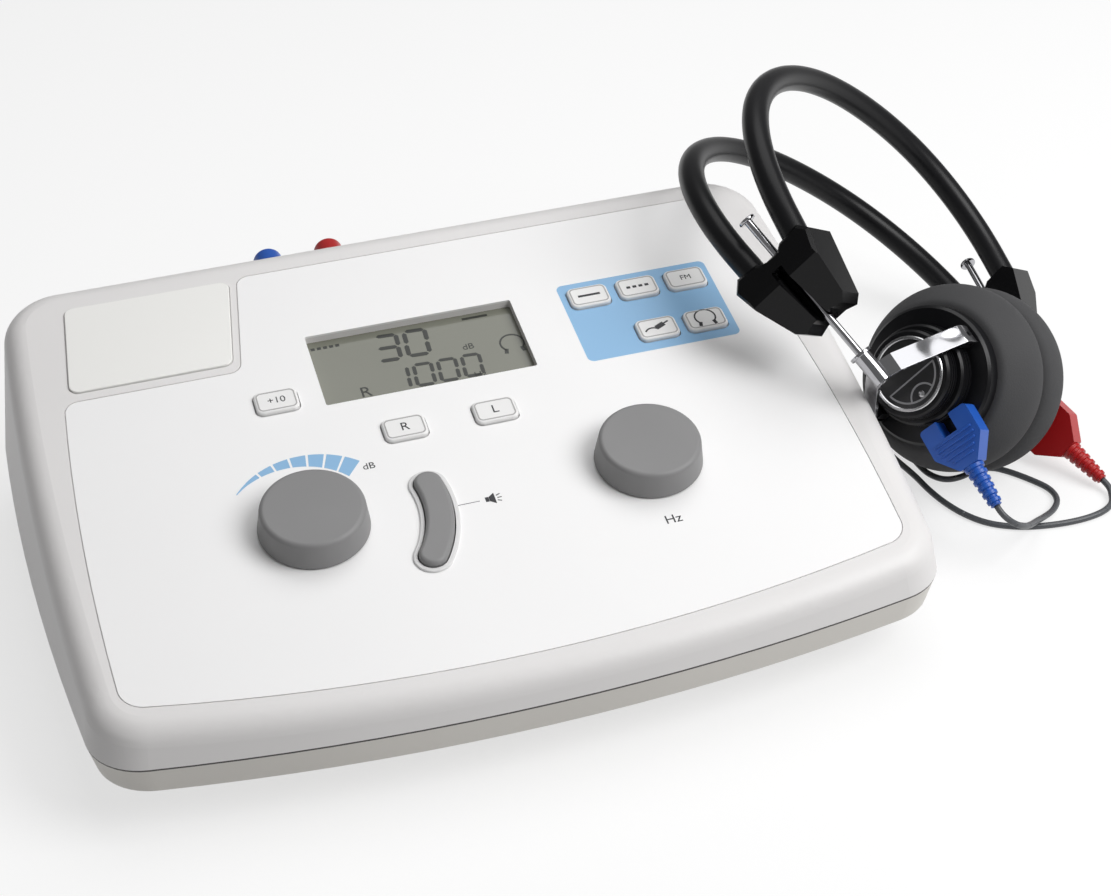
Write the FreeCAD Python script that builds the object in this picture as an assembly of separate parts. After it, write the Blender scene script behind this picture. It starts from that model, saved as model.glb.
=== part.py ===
import FreeCAD, Part
import math
import os

from FreeCAD import Placement, Rotation, Vector

# Desktop audiometer with a headset of two earphones. Millimetres. The origin lies on the table under the
# middle of the console, +X to the user's right, +Y to the rear, +Z up.

# ---- console shells ----
FOOT_HEIGHT = 3.0
FOOT_RADIUS = 9.0
FOOT_X = 100.0
FOOT_FRONT_Y = -72.0
FOOT_REAR_Y = 84.0
PAN_HEIGHT = 15.0
FLANGE_HEIGHT = 11.0
PAN_SETBACK = 25.0
FRONT_Y = -113.5
REAR_Y = 114.0
FRONT_HALF_WIDTH = 143.3
REAR_HALF_WIDTH = 155.4
SIDE_BOW = 4.8
FRONT_BOW = 14.2
CORNER_RADIUS = 21.5
SIDE_DRAFT = 0.167
REAR_DRAFT = 0.07
LOWER_TAPER = 0.18
SHOULDER_RADIUS = 9.0
WALL = 2.5
PANEL_TILT = 12.0
PANEL_Y = 39.5
PANEL_Z = 72.0
PARTING_GROOVE = 0.5

# ---- control panel, in the plane of the panel ----
OVERLAY_THICKNESS = 0.8
OVERLAY_GAP = 0.35
OVERLAY_REAR = 56.7
OVERLAY_REAR_HALF = 125.6
OVERLAY_MID_HALF = 134.0
OVERLAY_MID_Y = -50.0
OVERLAY_FRONT_HALF = 132.1
OVERLAY_FRONT_CORNER_Y = -131.5
OVERLAY_FRONT = -145.3
OVERLAY_CORNER = 9.0
NOTCH_Y = 6.15
NOTCH_LEFT = -131.0
NOTCH_RIGHT_FRONT = -67.9
NOTCH_RIGHT_REAR = -60.0
NOTCH_CORNER = 5.0
PLATE_BORDER = 3.1
PLATE_THICKNESS = 1.6
PLATE_RECESS = 0.8
PLATE_CORNER = 3.5

LCD_X = -3.35
LCD_Y = -0.4
LCD_WIDTH = 78.3
LCD_HEIGHT = 36.8
LCD_CORNER = 0.8
LCD_DEPTH = 3.4
LCD_LEDGE = 2.6
LCD_PANE = 1.5
LCD_WELL_WALL = 2.0

BOARD_DEPTH = 11.0
BOARD_THICKNESS = 1.6
CHIPS = [
    (-10.0, -20.0, 20.0, 20.0, 2.4),
    (14.0, -20.0, 12.0, 12.0, 2.0),
    (-46.0, -31.0, 12.0, 10.0, 2.2),
]
CAPACITOR_RADIUS = 5.0
CAPACITOR_HEIGHT = 11.0
CAPACITOR_XS = (78.0, 92.0)
CAPACITOR_Y = 14.0
BOARD_X0 = -82.0
BOARD_X1 = 107.0
BOARD_Y0 = -102.0
BOARD_Y1 = 30.0
POST_RADIUS = 3.5
POST_INSET = 6.0

LABEL_X = 84.0
LABEL_Y = -1.0
LABEL_WIDTH = 59.3
LABEL_HEIGHT = 42.6
LABEL_CORNER = 2.5
LABEL_THICKNESS = 0.5

KEY_WIDTH = 15.6
KEY_HEIGHT = 10.8
KEY_CORNER = 2.6
KEY_RISE = 1.5
KEY_EDGE = 0.9
KEY_GAP = 0.4
KEY_TRAVEL = 0.6
KEY_LIP = 1.0
KEY_FLANGE = 1.0
KEY_STEM = 6.0
KEYS = {
    "plus_10_db_key": (-59.2, -12.9),
    "right_key": (-18.7, -37.8),
    "left_key": (14.2, -37.8),
    "tone_key": (64.9, 11.2),
    "pulse_key": (84.1, 11.2),
    "fm_key": (103.4, 11.2),
    "talk_key": (84.0, -12.4),
    "headphone_key": (102.9, -12.4),
}
SWITCH_SIDE = 6.0
SWITCH_BUTTON_RADIUS = 1.7
SWITCH_BODY = 3.4
SWITCH_SLACK = 0.3

KNOB_X = 59.2
KNOB_Y = -74.3
KNOB_BASE_RADIUS = 19.0
KNOB_TOP_RADIUS = 17.7
KNOB_HEIGHT = 10.4
KNOB_EDGE = 1.8
KNOB_GAP = 0.6
KNOB_ROOF = 2.5
SHAFT_RADIUS = 3.0
SHAFT_FIT = 0.05
BUSHING_RADIUS = 4.6
BUSHING_GAP = 0.2
ENCODER_SIDE = 15.0
ENCODER_TOP = 4.0

BAR_RADIUS = 42.25
BAR_HALF_WIDTH = 4.9
BAR_START = -34.0
BAR_END = 11.0
BAR_RISE = 3.0
BAR_EDGE = 1.5
BAR_TRAVEL = 1.0
BAR_SKIRT = 6.0
SURROUND_GAP = 0.4
SURROUND_WIDTH = 1.5
SURROUND_RISE = 0.8

# ---- rear wall ----
JACK_Z = 70.0
BLUE_JACK_X = -43.5
RED_JACK_X = -19.2
RESPONSE_JACK_X = 6.0
JACK_BORE = 3.25
JACK_NOSE = 4.6
JACK_NUT_RADIUS = 6.6
JACK_NUT = 1.8
JACK_STANDOUT = 0.55
JACK_SEAT = 0.6
JACK_BODY_WIDTH = 14.0
JACK_BODY_HEIGHT = 14.0
JACK_BODY_DEPTH = 27.0
PIN_CLEARANCE = 0.075
PIN_LENGTH = 24.0
PLUG_RADIUS = 5.8
PLUG_LENGTH = 16.6
PLUG_EDGE = 2.0
PLUG_RELIEF_BASE = 2.9
PLUG_RELIEF_TIP = 1.9
PLUG_RELIEF_LENGTH = 13.0
PLUG_RELIEF_DROOP = 50.0
PLUG_RELIEF_DROP = 1.5

INLET_X = 60.0
INLET_Z = 56.0
INLET_WIDTH = 14.0
INLET_HEIGHT = 12.0
INLET_DEPTH = 16.0
INLET_BORE = 3.2
INLET_PIN = 1.0
SWITCH_X = 92.0
SWITCH_WIDTH = 14.0
SWITCH_HEIGHT = 21.0
SWITCH_DEPTH = 14.0
BEZEL_WALL = 1.6
BEZEL_LIP = 1.5
BEZEL_STANDOUT = 1.2
ROCKER_GAP = 0.4
ROCKER_RADIUS = 11.2
ROCKER_PIVOT = 5.0
ROCKER_PIN = 1.2
ROCKER_TILT = 10.0

SCREW_X = 112.5
SCREW_FRONT_Y = -58.0
SCREW_REAR_Y = 72.0
SCREW_HEAD_RADIUS = 3.0
SCREW_HEAD = 2.2
SCREW_RADIUS = 1.6
SCREW_LENGTH = 30.0
BOSS_RADIUS = 4.5
BOSS_SPLIT_Z = 22.0
SCREW_SEAT = 2.6
SCREW_CLEARANCE = 0.3
THREAD_CLEARANCE = 0.03

# ---- headset, in its own frame: x across the head, y fore and aft, z to the crown ----
HEADSET_WALL_Y = -22.5
HEADSET_CLEARANCE = 38.16
HEADSET_WALL_SHARE = (HEADSET_WALL_Y - FRONT_Y) / (REAR_Y - FRONT_Y)
HEADSET_WALL_X = FRONT_HALF_WIDTH + (REAR_HALF_WIDTH - FRONT_HALF_WIDTH) * HEADSET_WALL_SHARE
HEADSET_X = HEADSET_WALL_X + HEADSET_CLEARANCE
HEADSET_Y = 46.2
HEADSET_Z = 62.9
HEADSET_YAW = 30.920
HEADSET_PITCH = 28.874
HEADSET_ROLL = -58.259
TUBE_RADIUS = 4.65
TUBE_OFFSET = 10.7
TUBE_SPLAY = 7.07
BAND_HALF_SPAN = 86.43
BAND_STRAIGHT = 7.8
BAND_SIDE_RADIUS = 71.55
BAND_TOP_RADIUS = 98.85
BAND_GAP = 0.3
TUBE_SEAT = 9.5

BLOCK_TOP_HALF = 18.6
BLOCK_BOTTOM_HALF = 12.0
BLOCK_BOTTOM = 29.5
BLOCK_EDGE = 1.2
BLOCK_OUTER = 93.2
BLOCK_INNER = 79.6
BLOCK_OUTER_KNEE = 12.0
BLOCK_OUTER_FOOT = 80.8
BLOCK_INNER_FOOT = 70.5
BLOCK_CHANNEL = 5.0
BLOCK_BRIDGE_TOP = 3.0
BLOCK_BRIDGE_BOTTOM = 8.0

ROD_RADIUS = 1.5
ROD_FIT = 0.05
ROD_X = 85.62
ROD_ANGLE = 16.4
ROD_UP = 16.6
ROD_DOWN = 59.6
CAP_RADIUS = 3.3
CAP_HEIGHT = 1.4
SOCKET_RADIUS = 3.3
SOCKET_LENGTH = 13.0
SOCKET_FLANGE_RADIUS = 4.3
SOCKET_FLANGE = 1.2

CUP_Z = -52.45
CUSHION_RADIUS = 35.6
CUSHION_FACE_RADIUS = 30.5
CUSHION_BACK_RADIUS = 28.4
CUSHION_FACE = 1.6
CUSHION_BACK = 24.6
CUSHION_WIDEST = 8.0
CUSHION_WIDE_END = 13.0
EAR_OPENING = 10.0
CASE_FRONT = 14.0
CASE_RADIUS = 22.5
FLANGE_RADIUS = 26.0
FLANGE_BACK = 31.0
STEP_RADIUS = 18.6
STEP_BACK = 38.0
BACK_RADIUS = 16.2
CASE_BACK = 44.5
CASE_WALL = 2.5
CASE_GAP = 0.3
BADGE_RADIUS = 14.1
BADGE_DEPTH = 0.8
DRIVER_DEPTH = 11.0
GRILLE_RADIUS = 11.0

PIVOT_X = 34.9
LUG_Y = 21.1
LUG_WIDTH = 6.0
LUG_THICKNESS = 3.2
PIVOT_PIN = 1.1
YOKE_Y = 24.3
YOKE_THICKNESS = 1.2
YOKE_WIDTH = 7.4
YOKE_GAP = 0.5
YOKE_SHOULDER_X = 38.6
YOKE_CROWN_X = 66.4
YOKE_CROWN_HALF = 6.0

CONNECTOR_THICKNESS = 7.0
CONNECTOR_TOP = 18.9
CONNECTOR_SHOULDER = 31.0
CONNECTOR_BOTTOM = 39.5
CONNECTOR_HALF = 10.6
CONNECTOR_NECK = 4.0
CONNECTOR_NOTCH = 6.0
CONNECTOR_NOTCH_DEPTH = 7.0
CONNECTOR_CORNER = 1.6
NEAR_CONNECTOR_ANGLE = 4.6
FAR_CONNECTOR_ANGLE = -10.6
RELIEF_BASE = 3.3
RELIEF_TIP = 2.1
RELIEF_LENGTH = 17.0

# ---- leads ----
CORD_RADIUS = 1.2
LEAD_START = 3.6
COIL_RADIUS = 13.5
COIL_HALF_WIDTH = 5.0
COIL_HEIGHT = 9.8
COIL_EDGE = 3.0
BLUE_COIL = Vector(-30, 160, 0)
RED_COIL = Vector(12, 160, 0)
BLUE_ROUTE = [
    (186.4, -67.0, 20.2),
    (192.4, -64.2, 15.8),
    (198.0, -58.6, 11.1),
    (204.0, -52.4, 6.9),
    (210.8, -46.8, 3.4),
    (217.6, -42.0, 1.5),
    (222.8, -36.2, 1.25),
    (223.4, -28.8, 1.25),
    (219.3, -21.2, 1.25),
    (214.3, -13.8, 1.25),
    (209.2, -8.6, 1.25),
    (202.4, -7.6, 1.25),
    (195.4, -10.6, 1.25),
    (188.2, -10.4, 1.25),
    (183.9, -4.8, 1.25),
    (182.9, 3.4, 1.25),
    (183.0, 17.0, 1.25),
    (180.6, 38.0, 1.25),
    (179.0, 64.0, 1.25),
    (175.0, 90.0, 1.25),
    (171.0, 114.0, 1.25),
    (159.0, 135.0, 1.25),
    (139.0, 150.0, 1.25),
    (113.0, 160.0, 1.25),
    (86.0, 171.0, 1.25),
    (58.0, 177.0, 1.25),
    (32.0, 184.0, 1.25),
    (7.0, 185.0, 1.25),
    (-10.0, 181.5, 1.25),
    (-21.5, 178.2, 1.25),
    (-28.0, 177.4, 1.25),
]
RED_ROUTE = [
    (242.9, -40.2, 2.1),
    (241.0, -44.6, 1.5),
    (237.0, -47.8, 1.3),
    (231.0, -49.8, 1.25),
    (222.5, -50.6, 1.25),
    (212.0, -49.8, 1.25),
    (201.0, -47.2, 1.25),
    (191.0, -41.4, 1.25),
    (185.0, -33.0, 1.25),
    (181.4, -23.5, 1.25),
    (179.4, -13.5, 1.25),
    (178.6, -3.0, 1.25),
    (175.6, 12.0, 1.25),
    (174.0, 35.0, 1.25),
    (170.0, 60.0, 1.25),
    (168.0, 86.0, 1.25),
    (163.0, 110.0, 1.25),
    (150.0, 129.0, 1.25),
    (129.0, 142.0, 1.25),
    (103.0, 152.0, 1.25),
    (76.0, 162.0, 1.25),
    (49.0, 170.0, 1.25),
    (31.0, 176.2, 1.25),
    (20.5, 178.2, 1.25),
    (14.5, 177.4, 1.25),
]
BLUE_TAIL = [
    (-47.25, 160.0, 8.3),
    (-47.25, 154.0, 8.3),
    (-47.0, 149.0, 10.5),
    (-46.1, 145.5, 16.0),
    (-45.0, 143.8, 25.0),
    (-44.0, 143.4, 35.0),
    (-43.5, 143.6, 44.0),
]
RED_TAIL = [
    (-5.25, 160.0, 8.3),
    (-5.25, 154.0, 8.3),
    (-6.0, 149.0, 10.5),
    (-8.2, 146.2, 15.0),
    (-12.0, 144.6, 22.5),
    (-15.8, 143.9, 31.5),
    (-18.4, 143.7, 41.5),
]

# ---- derived values ----
PAN_TOP_Z = FOOT_HEIGHT + PAN_HEIGHT
SPLIT_Z = PAN_TOP_Z + FLANGE_HEIGHT
LOFT_TOP_Z = PANEL_Z + (REAR_Y - PANEL_Y) * math.tan(math.radians(PANEL_TILT)) + 10.0
BIG = 800.0
PANEL = Placement(Vector(0, PANEL_Y, PANEL_Z), Rotation(Vector(1, 0, 0), PANEL_TILT))
HEADSET = Placement(
    Vector(HEADSET_X, HEADSET_Y, HEADSET_Z),
    Rotation(HEADSET_YAW, HEADSET_PITCH, HEADSET_ROLL),
)
SWITCH_TOP = -(BOARD_DEPTH - SWITCH_BODY)
LCD_MODULE_TOP = LCD_DEPTH + LCD_PANE


# ---- general helpers ----
def placed(shape, placement):
    """The shape moved as a rigid body by the placement."""
    moved = shape.copy()
    moved.Placement = placement.multiply(moved.Placement)
    return moved


def on_panel(shape):
    return placed(shape, PANEL)


def on_headset(shape):
    return placed(shape, HEADSET)


def mirrored(shape):
    """The far side's copy of a near-side headset piece."""
    return shape.mirror(Vector(0, 0, 0), Vector(1, 0, 0))


def box(x0, x1, y0, y1, z0, z1):
    return Part.makeBox(x1 - x0, y1 - y0, z1 - z0, Vector(x0, y0, z0))


def disc(radius, x, y, z0, z1):
    return Part.makeCylinder(radius, z1 - z0, Vector(x, y, z0))


def edges_along(shape, direction):
    """The straight edges that run along a direction."""
    found = []
    for edge in shape.Edges:
        span = edge.Vertexes[-1].Point - edge.Vertexes[0].Point
        if span.Length > 1e-6 and span.cross(direction).Length < 1e-6 * span.Length:
            found.append(edge)
    return found


def edges_at_height(shape, height):
    """The edges that lie wholly in the plane z = height."""
    return [e for e in shape.Edges if abs(e.BoundBox.ZMin - height) < 1e-4 and abs(e.BoundBox.ZMax - height) < 1e-4]


def rounded_box(x, y, width, height, corner, z0, z1):
    """A block centred at x, y whose upright edges are rounded."""
    block = box(x - width / 2, x + width / 2, y - height / 2, y + height / 2, z0, z1)
    return block.makeFillet(corner, edges_along(block, Vector(0, 0, 1)))


def round_corners(plate, corners, radius):
    """Round the upright edges that stand at the given corners."""
    chosen = []
    for edge in edges_along(plate, Vector(0, 0, 1)):
        foot = edge.Vertexes[0].Point
        if min(math.hypot(foot.x - c.x, foot.y - c.y) for c in corners) < 0.01:
            chosen.append(edge)
    return plate.makeFillet(radius, chosen)


def prism(points, z0, z1):
    """A polygon in x, y raised from z0 to z1."""
    outline = [Vector(x, y, z0) for x, y in points]
    face = Part.Face(Part.makePolygon(outline + outline[:1]))
    return face.extrude(Vector(0, 0, z1 - z0))


def turned(profile, centre, axis):
    """A solid of revolution of a closed polygon of vectors."""
    face = Part.Face(Part.makePolygon(profile + profile[:1]))
    return face.revolve(centre, axis, 360)


def cut_all(shape, tools):
    for tool in tools:
        shape = shape.cut(tool)
    return shape


def write(name, shape):
    shape.exportStep("parts/" + name + ".step")
    print(name, len(shape.Solids), "solid(s)", round(shape.Volume / 1000, 2), "cm3", shape.isValid())


# ---- console shells ----
def outline_at(z, side_inset, front_inset, rear_inset):
    """The console's plan outline at a height, drawn in from the parting line on each side."""
    front_half = FRONT_HALF_WIDTH - side_inset
    rear_half = REAR_HALF_WIDTH - side_inset
    middle_half = (front_half + rear_half) / 2 + SIDE_BOW
    corner_y = FRONT_Y + FRONT_BOW + front_inset
    rear_y = REAR_Y - rear_inset
    front_left = Vector(-front_half, corner_y, z)
    front_right = Vector(front_half, corner_y, z)
    rear_right = Vector(rear_half, rear_y, z)
    rear_left = Vector(-rear_half, rear_y, z)
    middle_y = (corner_y + rear_y) / 2
    return Part.Wire([
        Part.Arc(front_left, Vector(0, FRONT_Y + front_inset, z), front_right).toShape(),
        Part.Arc(front_right, Vector(middle_half, middle_y, z), rear_right).toShape(),
        Part.LineSegment(rear_right, rear_left).toShape(),
        Part.Arc(rear_left, Vector(-middle_half, middle_y, z), front_left).toShape(),
    ])


def rounded_loft(low, high, radius):
    """A loft between two outlines with its four corners rounded."""
    block = Part.makeLoft([low, high], True, True)
    low_z = low.BoundBox.ZMin
    high_z = high.BoundBox.ZMax
    corners = [e for e in block.Edges if e.BoundBox.ZMin < low_z + 1e-4 and e.BoundBox.ZMax > high_z - 1e-4]
    return block.makeFillet(radius, corners)


def upper_block(inset):
    """The drafted block above the parting line, drawn in by an inset and cut off under the panel's plane."""
    rise = LOFT_TOP_Z - SPLIT_Z
    low = outline_at(SPLIT_Z, inset, inset, inset)
    high = outline_at(
        LOFT_TOP_Z, inset + SIDE_DRAFT * rise, inset + SIDE_DRAFT * rise, inset + REAR_DRAFT * rise
    )
    block = rounded_loft(low, high, CORNER_RADIUS - inset)
    above = on_panel(box(-BIG, BIG, -BIG, BIG, -inset, BIG))
    block = block.cut(above)
    inverse = PANEL.inverse()
    flat = placed(block, inverse)
    flat = flat.makeFillet(SHOULDER_RADIUS - inset, edges_at_height(flat, -inset))
    return on_panel(flat)


def lower_block(inset):
    """The block between the pan and the parting line."""
    taper = LOWER_TAPER * FLANGE_HEIGHT
    low = outline_at(PAN_TOP_Z, inset + taper, inset + taper, inset + taper)
    high = outline_at(SPLIT_Z, inset, inset, inset)
    return rounded_loft(low, high, CORNER_RADIUS - inset)


def pan_block(inset, z0, z1):
    """The set-back pan that carries the feet."""
    back = PAN_SETBACK + inset
    low = outline_at(z0, back, back, back)
    high = outline_at(z1, back, back, back)
    return rounded_loft(low, high, CORNER_RADIUS - inset)


def overlay_solid(grow, z0, z1):
    """The overlay's outline, grown by a margin, between two heights over the panel."""
    front_left = Vector(-OVERLAY_FRONT_HALF - grow, OVERLAY_FRONT_CORNER_Y - grow, z0)
    front_right = Vector(OVERLAY_FRONT_HALF + grow, OVERLAY_FRONT_CORNER_Y - grow, z0)
    rear_right = Vector(OVERLAY_REAR_HALF + grow, OVERLAY_REAR + grow, z0)
    rear_left = Vector(NOTCH_RIGHT_REAR - grow, OVERLAY_REAR + grow, z0)
    notch_right = Vector(NOTCH_RIGHT_FRONT - grow, NOTCH_Y + grow, z0)
    notch_left = Vector(NOTCH_LEFT - grow, NOTCH_Y + grow, z0)
    middle = OVERLAY_MID_HALF + grow
    edges = [
        Part.Arc(front_left, Vector(0, OVERLAY_FRONT - grow, z0), front_right).toShape(),
        Part.Arc(front_right, Vector(middle, OVERLAY_MID_Y, z0), rear_right).toShape(),
        Part.LineSegment(rear_right, rear_left).toShape(),
        Part.LineSegment(rear_left, notch_right).toShape(),
        Part.LineSegment(notch_right, notch_left).toShape(),
        Part.Arc(notch_left, Vector(-middle, OVERLAY_MID_Y, z0), front_left).toShape(),
    ]
    plate = Part.Face(Part.Wire(edges)).extrude(Vector(0, 0, z1 - z0))
    plate = round_corners(plate, [front_left, front_right, rear_right], OVERLAY_CORNER + grow)
    plate = round_corners(plate, [rear_left, notch_left], NOTCH_CORNER + grow)
    return round_corners(plate, [notch_right], NOTCH_CORNER - grow)


def name_plate_solid(grow, z0, z1):
    """The bare name plate: a panel beside the overlay whose right side leans with the overlay's notch."""
    border = PLATE_BORDER - grow
    slant = (NOTCH_RIGHT_REAR - NOTCH_RIGHT_FRONT) / (OVERLAY_REAR - NOTCH_Y)
    front = NOTCH_Y + border + 1.2
    rear = OVERLAY_REAR - border + 1.6
    right_front = NOTCH_RIGHT_FRONT - border + slant * (front - NOTCH_Y)
    right_rear = NOTCH_RIGHT_FRONT - border + slant * (rear - NOTCH_Y)
    left_front = NOTCH_LEFT + border - 1.0
    left_rear = -OVERLAY_REAR_HALF + border - 2.2
    plate = prism([(left_front, front), (right_front, front), (right_rear, rear), (left_rear, rear)], z0, z1)
    return plate.makeFillet(PLATE_CORNER + grow, edges_along(plate, Vector(0, 0, 1)))


def bar_solid(half_width, z0, z1):
    """A bar with round ends that curves round the level knob's axis."""
    centre = Vector(-KNOB_X, KNOB_Y, z0)

    def at(radius, degrees):
        angle = math.radians(degrees)
        return centre + Vector(radius * math.cos(angle), radius * math.sin(angle), 0)

    middle = (BAR_START + BAR_END) / 2
    cap = math.degrees(half_width / BAR_RADIUS)
    inner = BAR_RADIUS - half_width
    outer = BAR_RADIUS + half_width
    edges = [
        Part.Arc(at(inner, BAR_START), at(inner, middle), at(inner, BAR_END)).toShape(),
        Part.Arc(at(inner, BAR_END), at(BAR_RADIUS, BAR_END + cap), at(outer, BAR_END)).toShape(),
        Part.Arc(at(outer, BAR_END), at(outer, middle), at(outer, BAR_START)).toShape(),
        Part.Arc(at(outer, BAR_START), at(BAR_RADIUS, BAR_START - cap), at(inner, BAR_START)).toShape(),
    ]
    return Part.Face(Part.Wire(edges)).extrude(Vector(0, 0, z1 - z0))


def key_hole(x, y, z0, z1):
    return rounded_box(x, y, KEY_WIDTH + 2 * KEY_GAP, KEY_HEIGHT + 2 * KEY_GAP, KEY_CORNER + KEY_GAP, z0, z1)


def panel_holes(z0, z1):
    """The keys' windows, the knobs' bushings, the tone bar's slot and the display's window."""
    holes = [key_hole(x, y, z0, z1) for x, y in KEYS.values()]
    for side in (-1, 1):
        holes.append(disc(BUSHING_RADIUS + BUSHING_GAP, side * KNOB_X, KNOB_Y, z0, z1))
    holes.append(bar_solid(BAR_HALF_WIDTH + SURROUND_GAP, z0, z1))
    holes.append(rounded_box(LCD_X, LCD_Y, LCD_WIDTH, LCD_HEIGHT, LCD_CORNER, z0, z1))
    return holes


def post_places():
    xs = (BOARD_X0 + POST_INSET, BOARD_X1 - POST_INSET)
    ys = (BOARD_Y0 + POST_INSET, BOARD_Y1 - POST_INSET)
    return [(x, y) for x in xs for y in ys]


def screw_places():
    return [(x, y) for x in (-SCREW_X, SCREW_X) for y in (SCREW_FRONT_Y, SCREW_REAR_Y)]


def rear_wall_y(z):
    """Where the drafted rear wall's outer face stands at a height."""
    return REAR_Y - REAR_DRAFT * (z - SPLIT_Z)


def rear_cylinder(radius, x, z, y0, y1):
    return Part.makeCylinder(radius, y1 - y0, Vector(x, y0, z), Vector(0, 1, 0))


def jack_places():
    return [BLUE_JACK_X, RED_JACK_X, RESPONSE_JACK_X]


def rear_holes():
    """Openings through the rear wall for the jacks, the inlet and the power switch."""
    y0 = rear_wall_y(JACK_Z) - 2 * WALL
    y1 = REAR_Y + WALL
    holes = [rear_cylinder(JACK_NOSE, x, JACK_Z, y0, y1) for x in jack_places()]
    holes.append(box(INLET_X - INLET_WIDTH / 2, INLET_X + INLET_WIDTH / 2, y0, y1,
                     INLET_Z - INLET_HEIGHT / 2, INLET_Z + INLET_HEIGHT / 2))
    holes.append(box(SWITCH_X - SWITCH_WIDTH / 2, SWITCH_X + SWITCH_WIDTH / 2, y0, y1,
                     INLET_Z - SWITCH_HEIGHT / 2, INLET_Z + SWITCH_HEIGHT / 2))
    return holes


def upper_case():
    outer = upper_block(0.0)
    shell = outer.cut(upper_block(WALL))
    well = rounded_box(LCD_X, LCD_Y, LCD_WIDTH + 2 * LCD_WELL_WALL, LCD_HEIGHT + 2 * LCD_WELL_WALL,
                       LCD_WELL_WALL, -LCD_DEPTH, -WALL)
    shell = shell.fuse(on_panel(well))
    for x, y in post_places():
        shell = shell.fuse(on_panel(disc(POST_RADIUS, x, y, -BOARD_DEPTH, -WALL)))
    inside = upper_block(WALL / 2)
    for x, y in screw_places():
        boss = disc(BOSS_RADIUS, x, y, BOSS_SPLIT_Z, LOFT_TOP_Z)
        keep = inside.fuse(box(-BIG, BIG, -BIG, BIG, 0, SPLIT_Z))
        shell = shell.fuse(boss.common(keep))
        shell = shell.cut(disc(SCREW_RADIUS + THREAD_CLEARANCE, x, y, 0, screw_top() + 1))
    tools = [on_panel(tool) for tool in panel_holes(-3 * WALL, WALL)]
    tools.append(on_panel(overlay_solid(OVERLAY_GAP, -OVERLAY_THICKNESS, WALL)))
    tools.append(on_panel(name_plate_solid(OVERLAY_GAP, -PLATE_RECESS, WALL)))
    return cut_all(shell, tools + rear_holes()).removeSplitter()


def screw_top():
    return FOOT_HEIGHT + SCREW_SEAT + SCREW_LENGTH


def lower_case():
    """The pan with its flange up to the parting line."""
    groove = PARTING_GROOVE
    flange = lower_block(0.0)
    rim = lower_block(-1.0).cut(lower_block(groove))
    flange = flange.cut(rim.common(box(-BIG, BIG, -BIG, BIG, SPLIT_Z - groove, SPLIT_Z + 1)))
    pan = pan_block(0.0, FOOT_HEIGHT, PAN_TOP_Z + WALL)
    shell = flange.fuse(pan)
    hollow = pan_block(WALL, FOOT_HEIGHT + WALL, PAN_TOP_Z + 2 * WALL)
    shell = shell.cut(hollow)
    shell = shell.cut(lower_block(WALL).common(box(-BIG, BIG, -BIG, BIG, PAN_TOP_Z + WALL, SPLIT_Z + 1)))
    for x, y in screw_places():
        shell = shell.fuse(disc(BOSS_RADIUS, x, y, FOOT_HEIGHT, BOSS_SPLIT_Z))
        shell = shell.cut(disc(SCREW_HEAD_RADIUS + SCREW_CLEARANCE, x, y, 0, FOOT_HEIGHT + SCREW_SEAT))
        shell = shell.cut(disc(SCREW_RADIUS + SCREW_CLEARANCE, x, y, 0, BOSS_SPLIT_Z + 1))
    return shell.removeSplitter()


def front_overlay():
    plate = overlay_solid(0.0, -OVERLAY_THICKNESS, 0)
    plate = cut_all(plate, panel_holes(-2 * OVERLAY_THICKNESS, OVERLAY_THICKNESS))
    pocket = rounded_box(LABEL_X, LABEL_Y, LABEL_WIDTH, LABEL_HEIGHT, LABEL_CORNER, -LABEL_THICKNESS, WALL)
    return on_panel(plate.cut(pocket))


def function_label():
    plate = rounded_box(LABEL_X, LABEL_Y, LABEL_WIDTH, LABEL_HEIGHT, LABEL_CORNER, -LABEL_THICKNESS, 0)
    near = [key_hole(x, y, -WALL, WALL) for x, y in KEYS.values() if abs(x - LABEL_X) < LABEL_WIDTH / 2]
    return on_panel(cut_all(plate, near))


def name_plate():
    plate = name_plate_solid(0.0, -PLATE_RECESS, PLATE_THICKNESS - PLATE_RECESS)
    top = edges_at_height(plate, PLATE_THICKNESS - PLATE_RECESS)
    return on_panel(plate.makeFillet(PLATE_RECESS / 2, top))


def lcd_window():
    return on_panel(rounded_box(LCD_X, LCD_Y, LCD_WIDTH + LCD_LEDGE, LCD_HEIGHT + LCD_LEDGE,
                                LCD_CORNER, -LCD_MODULE_TOP, -LCD_DEPTH))


def lcd_module():
    return on_panel(rounded_box(LCD_X, LCD_Y, LCD_WIDTH + 2 * LCD_LEDGE, LCD_HEIGHT + 2 * LCD_LEDGE,
                                LCD_CORNER, -BOARD_DEPTH, -LCD_MODULE_TOP))


def main_board():
    board = box(BOARD_X0, BOARD_X1, BOARD_Y0, BOARD_Y1, -BOARD_DEPTH - BOARD_THICKNESS, -BOARD_DEPTH)
    return on_panel(board)


def board_components():
    """Processor, memory, amplifier and smoothing capacitors under the board."""
    under = -BOARD_DEPTH - BOARD_THICKNESS
    pieces = []
    for x, y, width, depth, height in CHIPS:
        pieces.append(box(x - width / 2, x + width / 2, y - depth / 2, y + depth / 2, under - height, under))
    for x in CAPACITOR_XS:
        pieces.append(disc(CAPACITOR_RADIUS, x, CAPACITOR_Y, under - CAPACITOR_HEIGHT, under))
    return on_panel(Part.makeCompound(pieces))


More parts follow.
